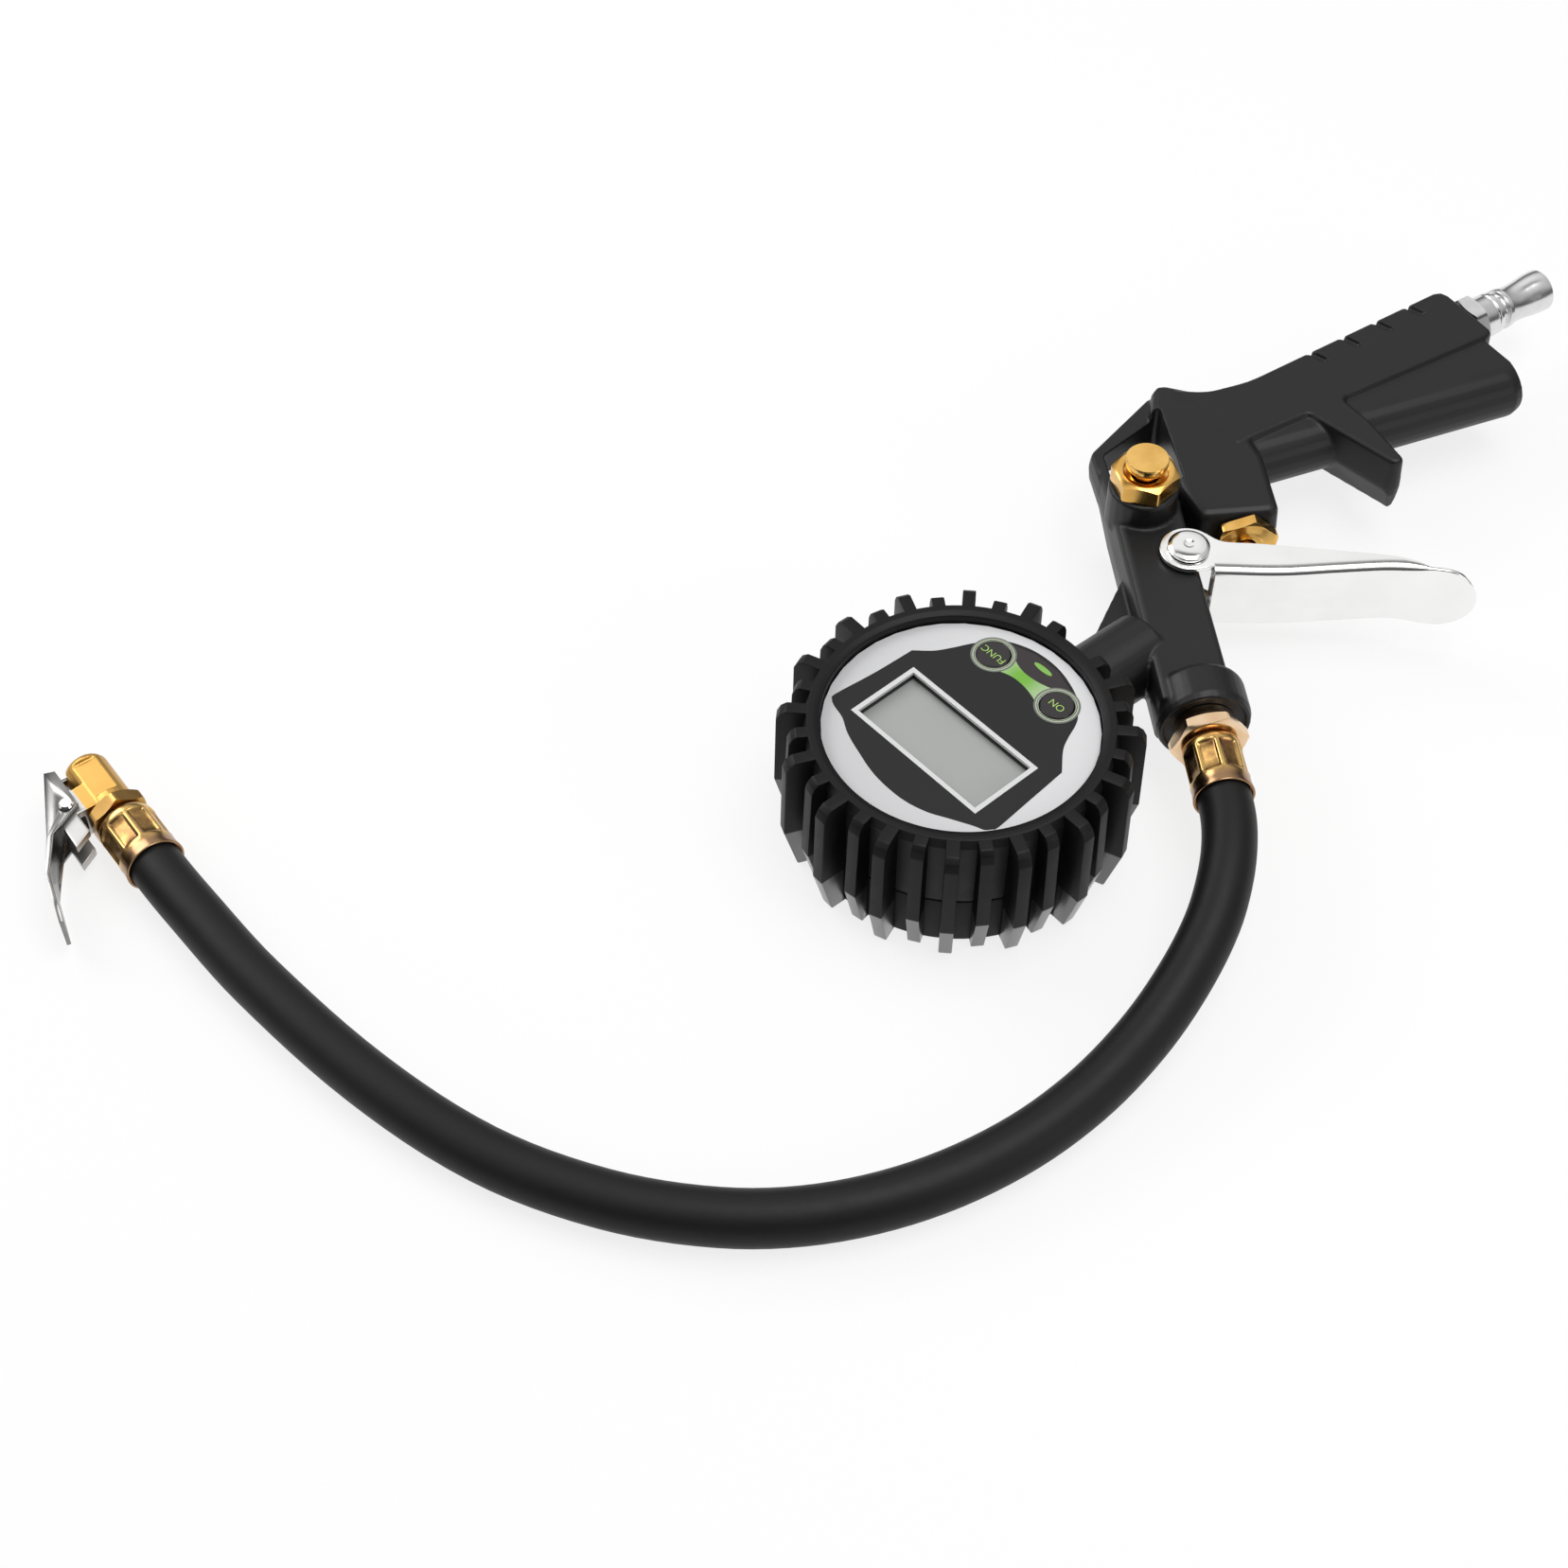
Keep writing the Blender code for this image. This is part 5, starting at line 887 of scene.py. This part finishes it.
def lever():
    """Lever about its pivot: the swept sheet, its round end and the two ears on the pin."""
    stations = [(LEVER_START + LEVER_STRAIGHT * k / 60, LEVER_HALF) for k in range(61)]
    for a in [radians(d) for d in range(6, 83, 4)]:
        stations.append((ROUND_START + ROUND_REACH * sin(a), LEVER_HALF * cos(a)))
    mesh = bmesh.new()
    rows = [[mesh.verts.new(p) for p in lever_section(x, half)] for x, half in stations]
    for low, high in zip(rows, rows[1:]):
        for i in range(len(low)):
            mesh.faces.new((low[i - 1], low[i], high[i], high[i - 1]))
    mesh.faces.new(rows[0])
    mesh.faces.new(rows[-1][::-1])
    bmesh.ops.recalc_face_normals(mesh, faces=mesh.faces)
    ear = [Vector((EAR_RADIUS * cos(radians(a)), EAR_RADIUS * sin(radians(a)))) for a in range(43, 286, 6)]
    ear += [Vector((0.0059, -0.0072)), Vector((0.0059, 0.0050))]
    for height in (LEVER_HALF - SHEET / 2, SHEET / 2 - LEVER_HALF):
        plate = filled([ear, circle(Vector((0, 0)), EAR_HOLE)], SHEET - EAR_THINNER, SHEET_EDGE)
        plate.transform(Matrix.Translation((0, 0, height)))
        mesh.from_mesh(plate)
    mesh.transform(Matrix.Translation(PIVOT))
    return mesh


LEVER_PLATE = metal("lever plating", (0.87, 0.87, 0.865), (0.92, 0.918, 0.91), 0.13)
piece("pressed_lever", lever(), LEVER_PLATE, "trigger", ["trigger_lever"], 40)
CLIP_PLATE = metal("clip plating", (0.20, 0.195, 0.19), (0.36, 0.355, 0.35), 0.24)
piece("pressed_clip", edged("clip_lever", width=0.0002), CLIP_PLATE, "clip", ["clip_lever"], 180)
LUG_START = 0.0066
TOOL_MARKS = 0.0004


def chuck_finish():
    """Satin brass; the lug that holds the clip is plated steel."""
    skin = Finish("chuck brass", (0.7, 0.45, 0.15), 0.38, 1.0)
    x, y = skin.parts(skin.place(CHUCK_FRAME))[:2]
    gold = skin.blend((0.56, 0.32, 0.08), (0.70, 0.42, 0.12), skin.noise(0.008, 3))
    skin.set("Base Color", skin.blend(gold, (0.50, 0.49, 0.48), y.within(LUG_START, LUG_START + 0.0002)))
    skin.set("Roughness", 0.33 + 0.12 * skin.noise(0.0016, 4, 0.6))
    skin.bump((x * (2 * pi / TOOL_MARKS)).maths('SINE') * 0.5, 0.000003, 0.4)
    return skin.material


CHUCK_BRASS = chuck_finish()
piece("milled_chuck", softened("chuck_body", voxel=0.00022), CHUCK_BRASS, nodes=["chuck_body"], smooth=180)
place = CHUCK_FRAME @ axis((FERRULE_LENGTH + 0.0003, 0, 0), (1, 0, 0))
rings = [(-0.0023, 0.0020), (-0.0023, 0.0045), (0.0, 0.0045)] + hex_nut(0.0142, 0.0, 0.0048, 0.0066, 0.7, 0.7)
rings += [(0.0048, 0.0035), (0.0078, 0.0035), (0.0078, 0.0020)]
CHUCK_NUT = brass("chuck fitting brass", place, (0.34, 0.19, 0.06), (0.60, 0.36, 0.11), 0.26)
piece("chuck_hexagon", turned(rings, place, 96, True), CHUCK_NUT, nodes=["chuck_fitting"])
print("lever, clip and chuck made")

# %% [markdown]
# ## Printed dial
# The face is a silver-grey film with a black panel, a pale frame round the display, two keys with rings and
# a green web between them. Each ink is a film a few hundredths of a millimetre thick, cut as a flat outline.

# %% Outlines and inks
mm = 0.001
FACE_Z = 0.0370
INK_LAYER = 0.00002
FUNC = Vector((0.01172, 0.02273))
ON = Vector((0.02476, 0.00417))
KEY_RADIUS = 0.0047
LETTER_Z = FACE_Z + 0.00021
DIAL_TURN = radians(-54.4)
DISPLAY = Vector((-0.0048, -0.0035))
LAMP = Vector((23.35, 16.55)) * mm
LAMP_LONG, LAMP_WIDE = 0.0030, 0.0008
WEB_WAIST = 0.00155
WAIST_AT = 0.0103
WEB_END = 0.00505


def ink(name, colour, roughness=0.35):
    film = Finish(name, colour, roughness)
    film.set("Roughness", roughness - 0.05 + 0.10 * film.noise(0.002, 2))
    return film


def oblong(centre, half_long, half_wide, turn=DIAL_TURN):
    spin = Matrix.Rotation(turn, 2)
    corners = ((1, 1), (-1, 1), (-1, -1), (1, -1))
    return [centre + spin @ Vector((half_long * a, half_wide * b)) for a, b in corners]


def printed(name, outlines, layer, thick, finish):
    """Flat film of a thickness that lies on a number of layers, both counted in layers of ink."""
    data = filled(outlines, thick * INK_LAYER)
    data.transform(Matrix.Translation((0, 0, FACE_Z + (layer + thick / 2) * INK_LAYER)))
    piece(name, data, finish.material, smooth=30)


def lettering(name, label, centre, finish, body):
    """A key's word as a raised film."""
    text = bpy.data.curves.new(label, 'FONT')
    text.body = label
    text.size = 0.0029
    text.align_x = 'CENTER'
    text.align_y = 'CENTER'
    text.extrude = 0.00001
    text.offset = -0.00003
    item = bpy.data.objects.new(name, text)
    bpy.context.scene.collection.objects.link(item)
    data = baked(item)
    at = Matrix.Translation((centre.x, centre.y, LETTER_Z))
    data.transform(at @ Matrix.Rotation(DIAL_TURN + pi, 4, 'Z'))
    piece(name, data, finish.material, body, smooth=30)


# %% Panel, frame and keys
runs = [
    [(-8.6, 26.4), (-3, 25.7), (2.2, 26.3), (6.1, 27), (12.4, 27.6), (17.3, 26.2), (23, 22.1), (27.6, 15.5),
     (30.1, 6.9), (29.4, 0.5), (28.2, -2.7), (25.7, -6.5), (23.8, -10.3), (22.3, -17.2)],
    [(22.3, -17.2), (12, -25.9), (4.4, -32.3), (2.6, -32.9), (0.7, -32.8), (-1.5, -31.4), (-7.1, -28.5),
     (-12.6, -25.6), (-18, -20.8), (-23.1, -13.2), (-26.3, -5), (-28.1, 0.8), (-28.8, 6.0), (-30.3, 9.9),
     (-30.6, 12.2), (-29.4, 14), (-18.9, 19.9), (-8.6, 26.4)]]
panel = []
for run in runs:
    panel += through([Vector(p) * mm for p in run])
holes = [oblong(DISPLAY, 0.0207, 0.0094), circle(FUNC, KEY_RADIUS), circle(ON, KEY_RADIUS)]
PANEL_INK = ink("panel ink", (0.010, 0.010, 0.0105), 0.42)
PANEL_INK.set("Specular IOR Level", 0.3)
printed("dial_panel", [panel] + holes, 0, 2, PANEL_INK)
frame_film = [oblong(DISPLAY, 0.0221, 0.0107), oblong(DISPLAY, 0.02075, 0.00945)]
printed("display_frame", frame_film, 2, 1.5, ink("frame ink", (0.66, 0.66, 0.66)))

WINDOW = ((12.4, 26.9), (17.0, 25.6), (22.5, 21.6), (27.0, 15.2), (29.4, 7.2), (24.8, 6.0), (17.5, 14.2),
          (12.0, 24.0))
window = [Vector(p) * mm for p in WINDOW]
window_ink = ink("window ink", (0.020, 0.013, 0.014), 0.2)
printed("lamp_window", [window, circle(FUNC, KEY_RADIUS)], 2, 1, window_ink)

web_axis = (ON - FUNC).normalized()
web_side = Vector((-web_axis.y, web_axis.x))
web_length = (ON - FUNC).length


def web_edge():
    """Outline along and across the web: an arc round each key and a side that narrows to the waist."""
    first = [(WEB_END * cos(radians(a)), WEB_END * sin(radians(a))) for a in range(-48, 49, 8)]
    last = [(web_length + WEB_END * cos(radians(a)), WEB_END * sin(radians(a))) for a in range(135, 226, 9)]
    rise = [(w - WEB_WAIST) / (t - WAIST_AT) ** 2 for t, w in (first[-1], last[0])]
    side = []
    for k in range(1, 20):
        t = first[-1][0] + (last[0][0] - first[-1][0]) * k / 20
        side.append((t, WEB_WAIST + rise[t > WAIST_AT] * (t - WAIST_AT) ** 2))
    outline = first + side + last + [(t, -w) for t, w in reversed(side)]
    return [FUNC + web_axis * t + web_side * w for t, w in outline]


WEB_INK = ink("web ink", (0.2, 0.5, 0.05))
centre = FUNC + web_axis * WAIST_AT
x, y = WEB_INK.parts(WEB_INK.place())[:2]
dx, dy = x - centre.x, y - centre.y
far = (dx * dx + dy * dy).maths('SQRT')
WEB_INK.set("Base Color", WEB_INK.blend((0.16, 0.42, 0.04), (0.36, 0.52, 0.26), far.within(0.001, 0.007)))
printed("green_web", [web_edge()], 3, 1, WEB_INK)
spin = Matrix.Rotation(DIAL_TURN, 2)
angles = [2 * pi * k / 32 for k in range(32)]
lamp_film = [LAMP + spin @ Vector((LAMP_LONG * cos(a), LAMP_WIDE * sin(a))) for a in angles]
printed("lamp", [lamp_film], 3, 1.5, ink("lamp ink", (0.20, 0.45, 0.08), 0.2))
GREY_INK = ink("ring grey", (0.15, 0.16, 0.14))
DARK_INK = ink("ring black", (0.030, 0.034, 0.026))
PALE_INK = ink("ring pale", (0.46, 0.53, 0.38))
LETTER_INK = ink("letter lime", (0.42, 0.68, 0.16))
KEY_INK = ink("key black", (0.016, 0.013, 0.013), 0.3)
RINGS = ((5.9, 5.4, GREY_INK), (5.4, 5.1, PALE_INK), (5.1, 4.88, DARK_INK), (4.88, 4.7, PALE_INK))
KEYS = (("FUNC", FUNC, "func_key", "func_button"), ("ON", ON, "on_key", "on_button"))
for label, centre, key, node in KEYS:
    for number, (outer, inner, colour) in enumerate(RINGS):
        ring = [circle(centre, outer * mm), circle(centre, inner * mm)]
        printed(key + "_ring_" + str(number), ring, 4, 1, colour)
    lettering(key + "_letters", label, centre, LETTER_INK, key)
    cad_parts[node].data.materials[0] = KEY_INK.material
print("dial printed")

# %% [markdown]
# ## Finishes of the pieces that keep their CAD mesh
# Flat plates, the springs and what lies inside the case are right as they are. Each gets its own finish:
# a green board with lighter lines, shrink-wrapped cells, a silver face with painted shading that is lighter
# to one side, and a grey liquid crystal.


# %% Remaining finishes
def face_film():
    film = Finish("silver face", (0.62, 0.62, 0.63), 0.38)
    x = film.parts(film.place())[0]
    # The face is painted lighter towards +X and darker towards -X: painted shading.
    share = (x * 12.0 + 0.5).within(0.0, 1.0)
    film.set("Base Color", film.blend((0.56, 0.56, 0.57), (0.70, 0.70, 0.71), share))
    film.bump(film.noise(0.0003, 2), 0.00001, 0.2)
    return film.material


def crystal():
    film = Finish("display glass", (0.40, 0.41, 0.40), 0.32, Coat_Weight=0.5)
    film.set("Base Color", film.blend((0.32, 0.33, 0.32), (0.37, 0.38, 0.37), film.noise(0.02, 2)))
    return film.material


def board_green():
    film = Finish("circuit board", (0.02, 0.12, 0.05), 0.4)
    feeds = {"Vector": film.place(), "Scale": 260.0, "Mortar Size": 0.03}
    lines = film.add('ShaderNodeTexBrick', None, feeds, 1)
    film.set("Base Color", film.blend((0.015, 0.10, 0.04), (0.05, 0.22, 0.09), lines))
    return film.material


def cell_wrap():
    film = Finish("cell wrap", (0.04, 0.05, 0.07), 0.3)
    x = film.parts(film.place())[0]
    film.set("Base Color", film.blend((0.03, 0.035, 0.04), (0.62, 0.40, 0.14), x.within(0.0105, 0.0107)))
    return film.material


LCD = crystal()
PLAIN_BRASS = metal("plain brass", BRASS_DARK, BRASS_LIGHT, 0.2)
kept = {"inlet_seal": SEAL_RUBBER, "inflate_valve_stem": PLAIN_BRASS, "inflate_valve_seal": SEAL_RUBBER,
        "inflate_valve_spring": SPRING, "trigger_pin_clip": SPRING, "bleed_seal": SEAL_RUBBER,
        "bleed_spring": SPRING, "case_back": CASE_PLASTIC, "battery_cover": CASE_PLASTIC,
        "cover_screw": SPRING, "battery_a": cell_wrap(), "battery_b": cell_wrap(), "contact_plate_a": SPRING,
        "contact_plate_b": SPRING, "circuit_board": board_green(), "lcd_window": LCD, "lcd_module": LCD,
        "case_front": CASE_PLASTIC, "face_plate": face_film(),
        "func_switch": CASE_PLASTIC, "on_switch": CASE_PLASTIC,
        "gauge_stem": PLAIN_BRASS, "pressure_sensor": SPRING, "chuck_seal": SEAL_RUBBER, "chuck_pin": NICKEL,
        "clip_spring": SPRING}
for name, material in kept.items():
    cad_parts[name].data.materials[0] = material
print(len(kept), "CAD pieces finished")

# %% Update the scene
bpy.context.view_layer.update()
